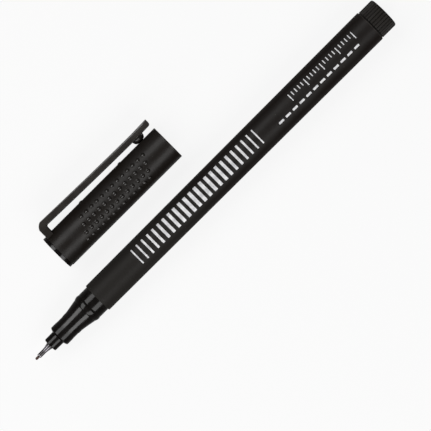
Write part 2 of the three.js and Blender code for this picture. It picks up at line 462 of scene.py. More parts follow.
def feed(tree: Tree, node: bpy.types.Node, name: str | int, source: object) -> None:
    """Gives one of a node's inputs a value or a source.

    Args:
        tree: the node's tree.
        node: the node.
        name: the input's name or number.
        source: a socket to link, or a plain value.
    """
    if isinstance(source, Socket):
        tree.links.new(source, node.inputs[name])
    else:
        node.inputs[name].default_value = source


def sums(tree: Tree, how: str, *values: object) -> Socket:
    """The result of one Math node."""
    return put(tree, "Math", dict(enumerate(values)), operation=how).outputs[0]


def spread(
    tree: Tree,
    value: Socket,
    low: float,
    high: float,
    to_low: object = 0,
    to_high: object = 1,
) -> Socket:
    """A value stretched, smoothly and within its ends, from one span to another.

    Args:
        tree: where the node goes.
        value: the value.
        low, high: the span that it comes from.
        to_low, to_high: the span that it goes to.

    Returns:
        The stretched value.
    """
    sockets = {
        "Value": value,
        "From Min": low,
        "From Max": high,
        "To Min": to_low,
        "To Max": to_high,
    }
    return put(tree, "MapRange", sockets, interpolation_type="SMOOTHSTEP").outputs[0]


def mix(tree: Tree, share: object, first: object, second: object) -> Socket:
    """Two colours mixed by a share.

    Args:
        tree: where the node goes.
        share: how much of the second colour there is, or its source.
        first, second: the colours, or their sources.

    Returns:
        The mixed colour.
    """
    first_colour, second_colour, mixed = 6, 7, 2  # a Mix node's colour sockets
    sockets = {"Factor": share, first_colour: first, second_colour: second}
    return put(tree, "Mix", sockets, data_type="RGBA").outputs[mixed]


def new_group(
    name: str,
    inputs: dict[str, float | None],
    outputs: list[str],
) -> tuple[Tree, bpy.types.Node, bpy.types.Node]:
    """An empty node group.

    Args:
        name: the group's name.
        inputs: its inputs with their starting values; one without a value is a vector.
        outputs: its outputs, all plain values.

    Returns:
        The group's tree, its input node and its output node.
    """
    tree = bpy.data.node_groups.new(name, "ShaderNodeTree")
    for label, value in inputs.items():
        kind = "NodeSocketVector" if value is None else "NodeSocketFloat"
        made = tree.interface.new_socket(label, in_out="INPUT", socket_type=kind)
        if value is not None:
            made.default_value = value
    for label in outputs:
        tree.interface.new_socket(label, in_out="OUTPUT", socket_type="NodeSocketFloat")
    return tree, tree.nodes.new("NodeGroupInput"), tree.nodes.new("NodeGroupOutput")


def grain_group() -> Tree:
    """Moulded grain, the soft patches that handling leaves, and rare specks of lint.

    Returns:
        A group that takes a place in millimetres and the sizes of grain, patches and specks.
    """
    inputs = {"Place": None, "Grain": 0.08, "Patch": 6.0, "Speck": 0.35}
    tree, given, out = new_group("moulded_grain", inputs, ["Height", "Patches", "Specks"])
    place = given.outputs["Place"]

    def noise(size: Socket, detail: float) -> Socket:
        """Noise whose lumps are of one size.

        Args:
            size: their size in millimetres.
            detail: how much finer noise lies on it.

        Returns:
            The noise, from 0 to 1.
        """
        scale = sums(tree, "DIVIDE", 1.0, size)
        sockets = {"Vector": place, "Scale": scale, "Detail": detail, "Roughness": 0.55}
        return put(tree, "TexNoise", sockets).outputs["Fac"]

    tree.links.new(noise(given.outputs["Grain"], 2.0), out.inputs["Height"])
    patch_span = (0.38, 0.66)
    patches = spread(tree, noise(given.outputs["Patch"], 3.0), *patch_span)
    tree.links.new(patches, out.inputs["Patches"])
    cells_per_speck, speck_edge, speck_core, rarity = 0.22, 0.10, 0.04, 0.72
    scale = sums(tree, "DIVIDE", cells_per_speck, given.outputs["Speck"])
    dots = put(tree, "TexVoronoi", {"Vector": place, "Scale": scale})
    small = spread(tree, dots.outputs["Distance"], speck_edge, speck_core)
    chance = put(tree, "TexWhiteNoise", {"Vector": dots.outputs["Position"]}).outputs["Value"]
    few = sums(tree, "GREATER_THAN", chance, rarity)
    tree.links.new(sums(tree, "MULTIPLY", small, few), out.inputs["Specks"])
    return tree


def rim_band_group() -> Tree:
    """A pale line round the piece at one place along x, broken by noise; on the steel sleeve it is a
    painted highlight.

    Returns:
        A group that takes a place, the rim's place along x and the line's width, in millimetres.
    """
    inputs = {"Place": None, "Rim": 0.0, "Width": 0.2}
    tree, given, out = new_group("pale_rim_band", inputs, ["Wear"])
    parts = put(tree, "SeparateXYZ", {0: given.outputs["Place"]})
    away = sums(tree, "ABSOLUTE", sums(tree, "SUBTRACT", parts.outputs["X"], given.outputs["Rim"]))
    near = sums(tree, "SUBTRACT", 1.0, sums(tree, "DIVIDE", away, given.outputs["Width"]))
    band = spread(tree, near, 0.0, 1.0)
    broken = put(tree, "TexNoise", {"Vector": given.outputs["Place"], "Scale": 0.9, "Detail": 4.0})
    broken_span, faintest = (0.35, 0.6), 0.45
    kept = spread(tree, broken.outputs["Fac"], *broken_span, faintest, 1.0)
    tree.links.new(sums(tree, "MULTIPLY", band, kept), out.inputs["Wear"])
    return tree


def lines_group() -> Tree:
    """The fine lines that turning or moulding leaves round a piece.

    Returns:
        A group that takes a place and the distance between two lines, in millimetres.
    """
    inputs = {"Place": None, "Pitch": 0.1}
    tree, given, out = new_group("turned_lines", inputs, ["Height"])
    stretch = (1.0, 0.02, 0.02)
    sockets = {0: given.outputs["Place"], 1: stretch}
    pressed = put(tree, "VectorMath", sockets, operation="MULTIPLY")
    scale = sums(tree, "DIVIDE", 1.0, given.outputs["Pitch"])
    sockets = {"Vector": pressed.outputs[0], "Scale": scale, "Detail": 1.0}
    lines = put(tree, "TexNoise", sockets)
    tree.links.new(lines.outputs["Fac"], out.inputs["Height"])
    return tree


class Effects:
    """The node groups that the finishes share, each built once."""

    def __init__(self) -> None:
        """Builds the groups."""
        self.grain = grain_group()
        self.rim_band = rim_band_group()
        self.lines = lines_group()


@dataclass(frozen=True)
class Grain:
    """The sizes, in millimetres, of a surface's fine grain, its patches and its specks."""

    fine: float
    patch: float
    speck: float


class Board:
    """One material's node tree, with the pieces that every finish needs."""

    def __init__(self, name: str, effects: Effects) -> None:
        """Starts a material with a place in millimetres and one Principled shader.

        Args:
            name: the material's name.
            effects: the shared node groups.
        """
        self.material = bpy.data.materials.new(name)
        self.material.use_nodes = True
        self.tree = self.material.node_tree
        self.tree.nodes.clear()
        self.effects = effects
        where = put(self.tree, "TexCoord").outputs["Object"]
        scaled = {"Vector": where, "Scale": (1 / MM,) * 3}
        self.place = put(self.tree, "Mapping", scaled).outputs[0]
        self.shader = put(self.tree, "BsdfPrincipled")
        out = put(self.tree, "OutputMaterial")
        self.tree.links.new(self.shader.outputs[0], out.inputs["Surface"])

    def effect(self, group: Tree, **values: object) -> dict[str, Socket]:
        """Places a shared effect.

        Args:
            group: one of the shared groups.
            values: its inputs other than the place, by name.

        Returns:
            The effect's outputs by name.
        """
        node = self.tree.nodes.new("ShaderNodeGroup")
        node.node_tree = group
        self.tree.links.new(self.place, node.inputs["Place"])
        for name, value in values.items():
            node.inputs[name].default_value = value
        return {output.name: output for output in node.outputs}

    def grain(self, sizes: Grain) -> dict[str, Socket]:
        """The shared grain at a surface's own sizes."""
        named_sizes = {"Grain": sizes.fine, "Patch": sizes.patch, "Speck": sizes.speck}
        return self.effect(self.effects.grain, **named_sizes)

    def feed(self, name: str, source: object) -> None:
        """Gives one of the shader's inputs a value or a source."""
        feed(self.tree, self.shader, name, source)

    def along(self, axis: str) -> Socket:
        """The place along one of the axes X, Y and Z, in millimetres."""
        return put(self.tree, "SeparateXYZ", {0: self.place}).outputs[axis]

    def radius(self, line: Run) -> Socket:
        """How far a place is from a turned piece's axis.

        Args:
            line: where the piece lies.

        Returns:
            The distance in millimetres.
        """
        y = sums(self.tree, "SUBTRACT", self.along("Y"), line.y / MM)
        z = sums(self.tree, "SUBTRACT", self.along("Z"), line.z / MM)
        squares = [sums(self.tree, "POWER", value, 2.0) for value in (y, z)]
        return sums(self.tree, "SQRT", sums(self.tree, "ADD", *squares))

    def rough(self, relief: Socket, roughness: Span, seen: Span = NOISE) -> None:
        """Lets the roughness follow a relief, whose own values lie in the span that is seen."""
        self.feed("Roughness", spread(self.tree, relief, *seen, *roughness))

    def gloss(self, level: object, fades: Span, edge: float = 0.0) -> None:
        """Lets the gloss fade where the surface turns away, so that black edges stay black.

        Args:
            level: the specular level, or its source, seen from straight above the surface.
            fades: where the fading starts and ends, from 0 facing the eye to 1 edge on.
            edge: the level that is left where the fading ends.
        """
        facing = put(self.tree, "LayerWeight", {"Blend": 0.5}).outputs["Facing"]
        self.feed("Specular IOR Level", spread(self.tree, facing, *fades, level, edge))

    def bump(self, height: Socket, depth: float, below: Socket | None = None) -> Socket:
        """Adds relief to the shader's normal.

        Args:
            height: the relief, from 0 to 1.
            depth: how deep the relief is, in metres.
            below: the normal that the relief lies on, where there is one.

        Returns:
            The new normal, which the shader then has.
        """
        sockets = {"Height": height, "Distance": depth, "Strength": 1.0}
        if below is not None:
            sockets["Normal"] = below
        normal = put(self.tree, "Bump", sockets).outputs[0]
        self.feed("Normal", normal)
        return normal


@dataclass(frozen=True)
class Finish:
    """What every finish has: a name, and a way to become a material."""

    name: str

    def make(self, effects: Effects) -> bpy.types.Material:
        """Builds the material.

        Args:
            effects: the shared node groups.

        Returns:
            The material.
        """
        board = Board(self.name, effects)
        self.paint(board)
        return board.material

    def paint(self, board: Board) -> None:
        """Puts the finish on a new material's board, in each finish's own way."""
        raise NotImplementedError


@dataclass(frozen=True)
class SoftTouch(Finish):
    """The matt, slightly rubbery black of the barrel and the cap.

    It is paler in a line along its rims, dull where fingers hold it and polished on a cap's bumps.
    """

    rims: tuple[float, ...] = ()
    handled: Span | None = None
    grip: Run | None = None
    dark: Colour = srgb(31, 27, 25)
    light: Colour = srgb(35, 32, 30)
    pale_rim: Colour = srgb(66, 62, 58)
    pale_rim_width: float = 0.24
    lint: Colour = srgb(84, 82, 80)
    lint_share: float = 0.5
    dulled: Colour = srgb(43, 41, 39)
    lost_gloss: float = 0.11
    gained_roughness: float = 0.05
    gloss: float = 0.215
    roughness: Span = (0.44, 0.52)
    fades: Span = (0.05, 0.34)
    edge: float = 0.008
    crest: Span = (0.01, 0.05)
    polish: float = 0.55
    shine: float = 0.31
    grain: Grain = Grain(0.07, 7.0, 0.3)
    relief: float = 0.006 * MM

    def paint(self, board: Board) -> None:
        """Puts on the tones, then what handling and gripping change, then the grain.

        Args:
            board: the new material's board.
        """
        tree, grain = board.tree, board.grain(self.grain)
        tone = mix(tree, grain["Patches"], self.dark, self.light)
        rough = spread(tree, grain["Patches"], *WHOLE, *self.roughness)
        gloss = self.gloss
        if self.handled is not None:
            full, none = (value / MM for value in self.handled)
            share = spread(tree, board.along("X"), none, full)
            tone = mix(tree, share, tone, self.dulled)
            rough = sums(tree, "MULTIPLY_ADD", share, self.gained_roughness, rough)
            gloss = sums(tree, "MULTIPLY_ADD", share, -self.lost_gloss, gloss)
        if self.grip is not None:
            low, high = (self.grip.radius / MM + rise for rise in self.crest)
            raised = spread(tree, board.radius(self.grip), low, high)
            kept = sums(tree, "SUBTRACT", 1.0, sums(tree, "MULTIPLY", raised, self.polish))
            rough = sums(tree, "MULTIPLY", rough, kept)
            gloss = sums(tree, "MULTIPLY_ADD", raised, self.shine, gloss)
        lint = sums(tree, "MULTIPLY", grain["Specks"], self.lint_share)
        tone = mix(tree, lint, tone, self.lint)
        for rim in self.rims:
            rim_band = board.effect(board.effects.rim_band, Rim=rim / MM, Width=self.pale_rim_width)
            tone = mix(tree, rim_band["Wear"], tone, self.pale_rim)
        board.feed("Base Color", tone)
        board.feed("Roughness", rough)
        board.gloss(gloss, self.fades, self.edge)
        board.bump(grain["Height"], self.relief)


@dataclass(frozen=True)
class GlossBlack(Finish):
    """The polished black of the nose, the grip section and the cap's end disc."""

    polished: Span | None = None
    polish: float = 0.19
    polish_fades: Span = (0.6, 0.25)
    tone: Colour = srgb(16, 13, 12)
    faded: Colour = srgb(22, 19, 18)
    gloss: float = 0.4
    fades: Span = (0.14, 0.32)
    edge: float = 0.02
    roughness: Span = (0.13, 0.19)
    grain: Grain = Grain(0.9, 2.4, 0.12)
    waves: float = 0.0035 * MM
    line_pitch: float = 0.25
    lines: float = 0.0005 * MM

    def paint(self, board: Board) -> None:
        """Puts on the tones and the gloss, then slow waves with fine lines over them.

        Args:
            board: the new material's board.
        """
        grain = board.grain(self.grain)
        lines = board.effect(board.effects.lines, Pitch=self.line_pitch)
        board.feed("Base Color", mix(board.tree, grain["Patches"], self.tone, self.faded))
        board.rough(grain["Patches"], self.roughness, WHOLE)
        board.gloss(self.level(board), self.fades, self.edge)
        waves = board.bump(grain["Height"], self.waves)
        board.bump(lines["Height"], self.lines, waves)

    def level(self, board: Board) -> object:
        """The gloss, higher where the cap's liner has polished the piece.

        Args:
            board: the new material's board.

        Returns:
            The level, or its source.
        """
        if self.polished is None:
            return self.gloss
        start, end = (value / MM for value in self.polished)
        at_start, at_end = self.polish_fades
        along = board.along("X")
        rise = spread(board.tree, along, start - at_start, start + at_start)
        fall = spread(board.tree, along, end + at_end, end - at_end)
        rubbed = sums(board.tree, "MULTIPLY", rise, fall)
        return sums(board.tree, "MULTIPLY_ADD", rubbed, self.polish, self.gloss)


@dataclass(frozen=True)
class SatinClip(Finish):
    """The satin brown-grey of the pocket clip, duller below the blade, where its tone is painted
    darker as shade.
    """

    under: float
    blade_fades: Span = (-0.25, 0.15)
    tone: Colour = srgb(41, 37, 34)
    light: Colour = srgb(46, 42, 38)
    # below: the clip's tone painted darker as shade under the blade
    below: Colour = srgb(39, 35, 32)
    gloss: Span = (0.6, 0.8)
    fades: Span = (0.25, 0.6)
    roughness: Span = (0.24, 0.28)
    grain: Grain = Grain(0.25, 4.0, 0.2)
    relief: float = 0.002 * MM

    def paint(self, board: Board) -> None:
        """Puts a darker tone, which is painted shade, and a lower gloss below the blade, and the
        clip's own tone and gloss on it.

        Args:
            board: the new material's board.
        """
        tree, grain = board.tree, board.grain(self.grain)
        low, high = (self.under / MM + reach for reach in self.blade_fades)
        blade = spread(tree, board.along("Y"), low, high)
        tone = mix(tree, grain["Patches"], self.tone, self.light)
        # Under the blade the tone is painted darker, as shade.
        board.feed("Base Color", mix(tree, blade, self.below, tone))
        board.rough(grain["Patches"], self.roughness, WHOLE)
        board.gloss(spread(tree, blade, *WHOLE, *self.gloss), self.fades)
        board.bump(grain["Height"], self.relief)


@dataclass(frozen=True)
class RibbedBlack(Finish):
    """The plug's black, with painted shade at the bottom of its grooves."""

    line: Run
    groove: float
    crest: float = 0.04
    end_fades: Span = (0.5, 0.3)
    tone: Colour = srgb(37, 34, 31)
    light: Colour = srgb(42, 39, 36)
    painted_groove_shade: Colour = srgb(10, 9, 8)
    gloss: float = 0.16
    fades: Span = (0.3, 0.8)
    roughness: Span = (0.5, 0.6)
    grain: Grain = Grain(0.09, 3.0, 0.25)
    relief: float = 0.005 * MM

    def paint(self, board: Board) -> None:
        """Paints shade into the grooves on the plug's side and leaves its end plain.

        Args:
            board: the new material's board.
        """
        tree, grain = board.tree, board.grain(self.grain)
        top, end = self.line.radius / MM, self.line.end / MM
        bottom = top - self.groove / MM
        height = spread(tree, board.radius(self.line), bottom, top - self.crest)
        far, near = self.end_fades
        on_end = spread(tree, board.along("X"), end - far, end - near)
        shown = sums(tree, "MAXIMUM", height, on_end)
        tone = mix(tree, grain["Patches"], self.tone, self.light)
        # The grooves' bottoms get painted shade; the end face keeps its plain tone.
        board.feed("Base Color", mix(tree, shown, self.painted_groove_shade, tone))
        board.rough(grain["Patches"], self.roughness, WHOLE)
        board.gloss(self.gloss, self.fades)
        board.bump(grain["Height"], self.relief)


@dataclass(frozen=True)
class TurnedSteel(Finish):
    """The drawn steel of the nib's sleeve, with painted highlights at its rim and on its flare."""

    line: Run
    tone: Colour = srgb(86, 84, 85)
    dull: Colour = srgb(70, 68, 69)
    # flare: a painted highlight on the flare, which ends short of the nose, where the nose shades it
    flare: Colour = srgb(122, 119, 123)
    flare_rise: Span = (1.7, 2.3)
    flare_fall: Span = (3.9, 2.9)
    # rim: a painted highlight in a band round the rim
    rim: Colour = srgb(168, 165, 168)
    rim_place: float = 0.28
    rim_width: float = 0.17
    roughness: Span = (0.08, 0.2)
    grain: Grain = Grain(0.5, 0.9, 0.2)
    line_pitch: float = 0.06
    relief: float = 0.001 * MM

    def paint(self, board: Board) -> None:
        """Puts on the steel's tones with a painted highlight at the rim and one on the flare, and
        the lines of turning.

        Args:
            board: the new material's board.
        """
        tree, front = board.tree, self.line.start / MM
        grain = board.grain(self.grain)
        lines = board.effect(board.effects.lines, Pitch=self.line_pitch)
        # A band of painted highlight round the rim.
        rim = {"Rim": front + self.rim_place, "Width": self.rim_width}
        pale_rim = board.effect(board.effects.rim_band, **rim)["Wear"]
        along = board.along("X")
        # A painted highlight on the flare, ending short of the nose, where the nose shades the
        # flare.
        rise, fall = (
            spread(tree, along, front + low, front + high)
            for low, high in (self.flare_rise, self.flare_fall)
        )
        tone = mix(tree, grain["Patches"], self.tone, self.dull)
        tone = mix(tree, sums(tree, "MULTIPLY", rise, fall), tone, self.flare)
        board.feed("Base Color", mix(tree, pale_rim, tone, self.rim))
        board.feed("Metallic", 1.0)
        board.feed("Specular Tint", (0.0, 0.0, 0.0, 1.0))
        board.rough(lines["Height"], self.roughness)
        board.bump(lines["Height"], self.relief)


@dataclass(frozen=True)
class Plain(Finish):
    """A finish of one tone, shaded in soft patches, with a fine grain."""

    tone: Colour
    shade: Colour
    grain: Grain
    roughness: Span
    relief: float
    metallic: float = 0.0

    def paint(self, board: Board) -> None:
        """Puts on the two tones and the grain.

        Args:
            board: the new material's board.
        """
        grain = board.grain(self.grain)
        board.feed("Base Color", mix(board.tree, grain["Patches"], self.tone, self.shade))
        board.feed("Metallic", self.metallic)
        board.rough(grain["Height"], self.roughness)
        board.bump(grain["Height"], self.relief)


@dataclass(frozen=True)
class InkedFibre(Plain):
    """Pressed fibre soaked with ink."""

    tone: Colour = srgb(84, 58, 49)
    shade: Colour = srgb(42, 29, 26)
    grain: Grain = Grain(0.05, 0.35, 0.1)
    roughness: Span = (0.5, 0.8)
    relief: float = 0.012 * MM


@dataclass(frozen=True)
class MouldedPlastic(Plain):
    """Plain moulded plastic or film, for the pieces inside."""

    tone: Colour = srgb(230, 230, 226)
    shade: Colour = srgb(216, 216, 211)
    grain: Grain = Grain(0.2, 3.0, 0.2)
    roughness: Span = (0.45, 0.55)
    relief: float = 0.003 * MM


@dataclass(frozen=True)
class SilverInk(Plain):
    """Silver printing ink, a little uneven where the pad left less of it."""

    tone: Colour = srgb(247, 247, 248)
    shade: Colour = srgb(222, 222, 225)
    grain: Grain = Grain(0.06, 1.2, 0.3)
    roughness: Span = (0.42, 0.55)
    relief: float = 0.002 * MM
    metallic: float = 0.15


# Sub-assemblies


@dataclass
class Assembly:
    """A sub-assembly: it dresses its pieces and lets them ride on its body."""

    body: ClassVar[Body]
    effects: Effects

    def dress(self, piece: Piece, finish: Finish, slot: str, *nodes: str) -> None:
        """Gives a new piece its finish and its body, and hides the nodes that it replaces.

        Args:
            piece: the new piece.
            finish: the finish it takes.
            slot: the record's slot for that finish; not used.
            nodes: the nodes that it replaces.
        """
        self.coat(piece, finish)
        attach(piece, self.body.value)
        if nodes:
            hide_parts(*nodes)
        faces = len(piece.data.polygons)
        log.info("%s: %d faces, rides on %s", piece.name, faces, self.body.value)

    def dress_node(self, node: str, finish: Finish) -> None:
        """Gives a node of the frame a better material and leaves its shape alone."""
        self.coat(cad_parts[node], finish)
        log.info("%s: kept from the frame", node)

    def coat(self, piece: Piece, finish: Finish) -> None:
        """Gives a piece one finish in place of any other."""
        piece.data.materials.clear()
        piece.data.materials.append(finish.make(self.effects))


@dataclass
class WritingEnd(Assembly):
    """The nib, its steel sleeve, the nose that holds it and the grip section.

    A pair of sizes is a point on an outline: its distance from the section's front and its
    radius. The flare's knee is counted forwards, from the nose's front.
    """

    body: ClassVar[Body] = Body.PEN
    fit: float = 0.1 * MM
    nib_radius: float = 0.345 * MM
    nib_step: float = 0.18 * MM
    nib_sides: int = 48
    tip_turns: tuple[int, ...] = (12, 30, 48, 66, 84)
    tip_length: float = 1.1
    rod_edge: float = 0.15 * MM
    tube_radius: float = 0.6 * MM
    tube_wall: float = 0.18 * MM
    tube_sides: int = 64
    flare_length: float = 2.1 * MM
    flare_knee: Point = (1.15 * MM, 0.64 * MM)
    lip_length: float = 0.14 * MM
    lip_drop: float = 0.07 * MM
    fine_edge: float = 0.03 * MM
    nose_front: float = 1.88 * MM
    nose_edge: float = 0.3 * MM
    nose_lead: float = 0.06 * MM
    nose_back: float = 1.93 * MM
    mouth_edge: float = 0.05 * MM
    rim_radius: float = 2.93 * MM
    rim_shoulder: float = 0.3 * MM
    rim_chamfer: float = 0.5 * MM
    rim_end: float = 2.2 * MM
    shoulder_edge: float = 0.1 * MM
    rim_edge: float = 0.08 * MM
    waist_radius: float = 2.88 * MM
    waist_end: float = 4.25 * MM
    heel_radius: float = 2.97 * MM
    step: float = 0.42 * MM
    cone_start: Point = (5.6 * MM, 2.98 * MM)
    cone_knee: Point = (6.3 * MM, 3.03 * MM)
    cone_end: Point = (9.28 * MM, 3.6 * MM)
    crease: Point = (9.36 * MM, 3.565 * MM)
    swell: Point = (9.48 * MM, 3.635 * MM)
    bead_knee: Point = (10.0 * MM, 3.9 * MM)
    bead_start: Point = (10.4 * MM, 3.91 * MM)
    drop_start: Point = (10.64 * MM, 3.91 * MM)
    drop_end: Point = (11.2 * MM, 3.79 * MM)
    neck_start: Point = (11.3 * MM, 3.83 * MM)
    polished: Span = (3.0 * MM, 9.25 * MM)
    section_bore: float = 1.64 * MM
    spigot_wall: float = 1.0 * MM
    spigot_edge: float = 0.2 * MM
    sides: int = 96
    nib: Run = run_of("fibre_nib")
    tube: Run = run_of("nib_sleeve")
    nose: Run = run_of("nib_holder")
    section: Run = run_of("grip_section")
    barrel: Run = run_of("barrel")

    def build(self) -> None:
        """Builds and dresses all four pieces."""
        steel = TurnedSteel("turned_steel", self.tube)
        nose_black = GlossBlack("nose_black", gloss=0.37)
        rubbed = tuple(self.section.start + reach for reach in self.polished)
        section_black = GlossBlack("section_black", gloss=0.34, polished=rubbed)
        self.dress(self.make_nib(), InkedFibre("inked_fibre"), "nib_fibre", "fibre_nib")
        self.dress(self.make_tube(), steel, "nib_steel", "nib_sleeve")
        self.dress(self.make_nose(), nose_black, "gloss_black", "nib_holder")
        self.dress(self.make_section(), section_black, "gloss_black", "grip_section")

    def make_nib(self) -> Piece:
        """The writing fibre: a round tip on a thin rod that thickens behind the nose.

        Returns:
            The fibre.
        """
        tip, rod = self.nib_radius, self.nib.radius
        start, step = self.nib.start, self.nose.start + self.nib_step
        outline = []
        for turn in self.tip_turns:
            angle = math.radians(turn)
            outline.append(Corner(start + tip * (1 - math.cos(angle)), tip * math.sin(angle)))
        outline += [
            Corner(start + tip * self.tip_length, tip),
            Corner(step, tip),
            Corner(step + rod - tip, rod),
            Corner(self.nib.end, rod, self.rod_edge),
        ]
        return smooth(self.nib.lathe(self.nib_sides).turn("writing_fibre", outline))

    def make_tube(self) -> Piece:
        """The steel tube, which flares like a trumpet into the nose.

        Returns:
            The tube.
        """
        front, tail, wall = self.tube_radius, self.tube.radius, self.tube_wall
        nose, lip = self.nose.start, self.tube.start
        knee = (nose - self.flare_knee[0], self.flare_knee[1])
        flare = bend((nose - self.flare_length, front), knee, (nose, tail), steps=10)
        inside = [Corner(c.along + wall, c.radius - wall) for c in reversed(flare)]
        outline = [
            Corner(lip, front - wall, self.fine_edge, steps=2),
            Corner(lip, front - self.lip_drop, self.fine_edge, steps=2),
            Corner(lip + self.lip_length, front, self.fine_edge, steps=2),
            *flare,
            Corner(self.tube.end, tail),
            Corner(self.tube.end, tail - wall),
            *inside,
        ]
        tube = self.nib.lathe(self.tube_sides).turn("steel_sleeve", outline, ring=True)
        return smooth(tube, sharpest=45)

    def make_nose(self) -> Piece:
        """The short glossy nose round the sleeve, with its shank in the grip section.

        Returns:
            The nose.
        """
        start, mouth, end = self.nose.start, self.section.start, self.nose.end
        bore, shank = self.tube.radius + PRESS, self.section_bore - PRESS
        reach, stop = self.nib.radius + self.fit, self.tube.end + STOP
        outline = [
            Corner(start, bore, self.nose_lead),
            Corner(start, self.nose_front, self.nose_edge, steps=5),
            Corner(mouth, self.nose_back),
            Corner(mouth, shank),
            Corner(end, shank),
            Corner(end, reach),
            Corner(stop, reach),
            Corner(stop, bore),
        ]
        return smooth(self.nib.lathe(self.sides).turn("glossy_nose", outline, ring=True))

    def make_section(self) -> Piece:
        """The grip section: rim, waist, cone, snap bead, neck and the spigot in the barrel.

        Returns:
            The section.
        """
        start, end, shoulder = self.section.start, self.section.end, self.barrel.start
        rim, waist, heel = self.rim_radius, self.waist_radius, self.heel_radius
        slope = self.rim_chamfer - self.rim_shoulder
        spigot = Barrel.bore - PRESS
        chamber = spigot - self.spigot_wall
        chamber_at = self.nose.end + STOP
        at = self.on_section
        cone = bend(at(self.cone_start), at(self.cone_knee), at(self.cone_end), steps=10)
        bead = bend(at(self.swell), at(self.bead_knee), at(self.bead_start), steps=8)
        neck = self.neck_start[1]
        outline = [
            Corner(start, self.section_bore),
            Corner(start, self.nose_back + self.fit, self.mouth_edge),
            Corner(start + self.rim_shoulder, rim - slope, self.shoulder_edge),
            Corner(start + self.rim_chamfer, rim, self.rim_edge),
            Corner(start + self.rim_end, rim),
            Corner(start + self.rim_end + self.step, waist),
            Corner(start + self.waist_end, waist),
            Corner(start + self.waist_end + self.step, heel),
            *cone,
            Corner(*at(self.crease)),
            *bead,
            Corner(*at(self.drop_start), self.fine_edge, steps=2),
            Corner(*at(self.drop_end)),
            Corner(*at(self.neck_start)),
            Corner(shoulder, neck),
            Corner(shoulder, spigot),
            Corner(end, spigot, self.spigot_edge),
            Corner(end, chamber),
            Corner(chamber_at, chamber),
            Corner(chamber_at, self.section_bore),
        ]
        section = self.nib.lathe(self.sides).turn("glossy_grip", outline, ring=True)
        return smooth(section, sharpest=14)

    def on_section(self, point: Point) -> Point:
        """A point that is given from the section's front, in its place on the axis."""
        return (self.section.start + point[0], point[1])


@dataclass
class Barrel(Assembly):
    """The barrel, its ribbed plug and the ink store inside it.

    Hands have dulled the barrel fully up to the first of two places, counted from its front, and
    not at all from the second one on.
    """

    body: ClassVar[Body] = Body.PEN
    front_radius: float = 4.19 * MM
    bore: float = 3.29 * MM
    front_edge: float = 0.16 * MM
    edge: float = 0.25 * MM
    pale_rim_inset: float = 0.16 * MM
    handled: Span = (16.0 * MM, 50.0 * MM)
    plug_lead: float = 0.1 * MM
    plug_edge: float = 0.45 * MM
    plug_dome: float = 0.12 * MM
    plug_face: float = 2.5 * MM
    face_edge: float = 0.6 * MM
    collar: float = 0.25 * MM
    collar_radius: float = 4.1 * MM
    ribs: int = 32
    rib_depth: float = 0.2 * MM
    rib_edge: float = 0.08 * MM
    sides_per_rib: int = 8
    sides: int = 160
    tube: Run = run_of("barrel")
    plug: Run = run_of("rear_plug")

    def build(self) -> Piece:
        """Builds and dresses the pieces.

        Returns:
            The barrel, for the marks to lie on.
        """
        barrel = self.make_tube()
        pale_rim = (self.tube.end - self.pale_rim_inset,)
        handled = tuple(self.tube.start + reach for reach in self.handled)
        soft = SoftTouch("barrel_soft_touch", pale_rim, handled)
        self.dress(barrel, soft, "barrel_soft_black", "barrel")
        ribbed = RibbedBlack("plug_black", self.plug, self.rib_depth)
        self.dress(self.make_plug(), ribbed, "plug_satin_black", "rear_plug")
        store = InkedFibre("store_fibre", srgb(46, 42, 52), srgb(20, 18, 26))
        self.dress_node("ink_reservoir", store)
        clear, shade = srgb(216, 218, 222), srgb(196, 199, 206)
        film = MouldedPlastic("clear_film", clear, shade, roughness=(0.25, 0.35))
        self.dress_node("reservoir_film", film)
        return barrel

    def make_tube(self) -> Piece:
        """The barrel, a tube with a slight draft.

        Returns:
            The barrel.
        """
        start, end = self.tube.start, self.tube.end
        outline = [
            Corner(start, self.bore),
            Corner(start, self.front_radius, self.front_edge),
            Corner(end, self.tube.radius, self.edge, steps=5),
            Corner(end, self.bore),
        ]
        return smooth(self.tube.lathe(self.sides).turn("soft_barrel", outline, ring=True))

    def make_plug(self) -> Piece:
        """The ribbed plug, with its collar and the spigot in the barrel.

        Returns:
            The plug.
        """
        lathe = self.plug.lathe(self.ribs * self.sides_per_rib)
        head, end, seat = self.plug.radius, self.plug.end, self.tube.end
        spigot = self.bore - PRESS
        ribs_at = seat + self.collar
        outline = [
            Corner(self.plug.start, spigot, self.plug_lead),
            Corner(seat, spigot),
            Corner(seat, self.collar_radius),
            Corner(ribs_at, self.collar_radius),
            Corner(ribs_at, head, self.rib_edge),
            Corner(end - self.plug_dome, head, self.plug_edge, steps=6),
            Corner(end, self.plug_face, self.face_edge),
        ]
        plug = lathe.turn("ribbed_plug", outline)
        edit(plug)
        self.cut_grooves(plug, lathe, ribs_at)
        leave()
        return smooth(plug, sharpest=24)

    def cut_grooves(self, plug: Piece, lathe: Lathe, start: float) -> None:
        """Draws the lines between the ribs in towards the axis.

        Args:
            plug: the plug, open in edit mode.
            lathe: the lathe that it was turned on.
            start: where along x the ribs start.
        """
        head, end = self.plug.radius, self.plug.end
        step = 2 * math.pi / lathe.sides
        slack = 0.01 * MM

        def in_groove(vertex: bmesh.types.BMVert) -> bool:
            """Whether a vertex of the head's side lies on a line between two ribs.

            Args:
                vertex: the vertex.

            Returns:
                True if it does.
            """
            place = vertex.co
            angle = math.atan2(place.z - lathe.z, place.y - lathe.y)
            on_line = round(angle / step) % self.sides_per_rib == 0
            on_side = lathe.distance(place) > head - self.plug_edge
            return on_line and on_side and start - slack < place.x < end

        pick(plug, Part.VERTEX, in_groove)
        share = (head - self.rib_depth) / head
        middle = (start, lathe.y, lathe.z)
        bpy.ops.transform.resize(value=(1, share, share), center_override=middle)


@dataclass(frozen=True)
class Bar:
    """One printed bar: its place along the barrel, its width and its two ends across."""

    along: float
    width: float
    low: float
    high: float


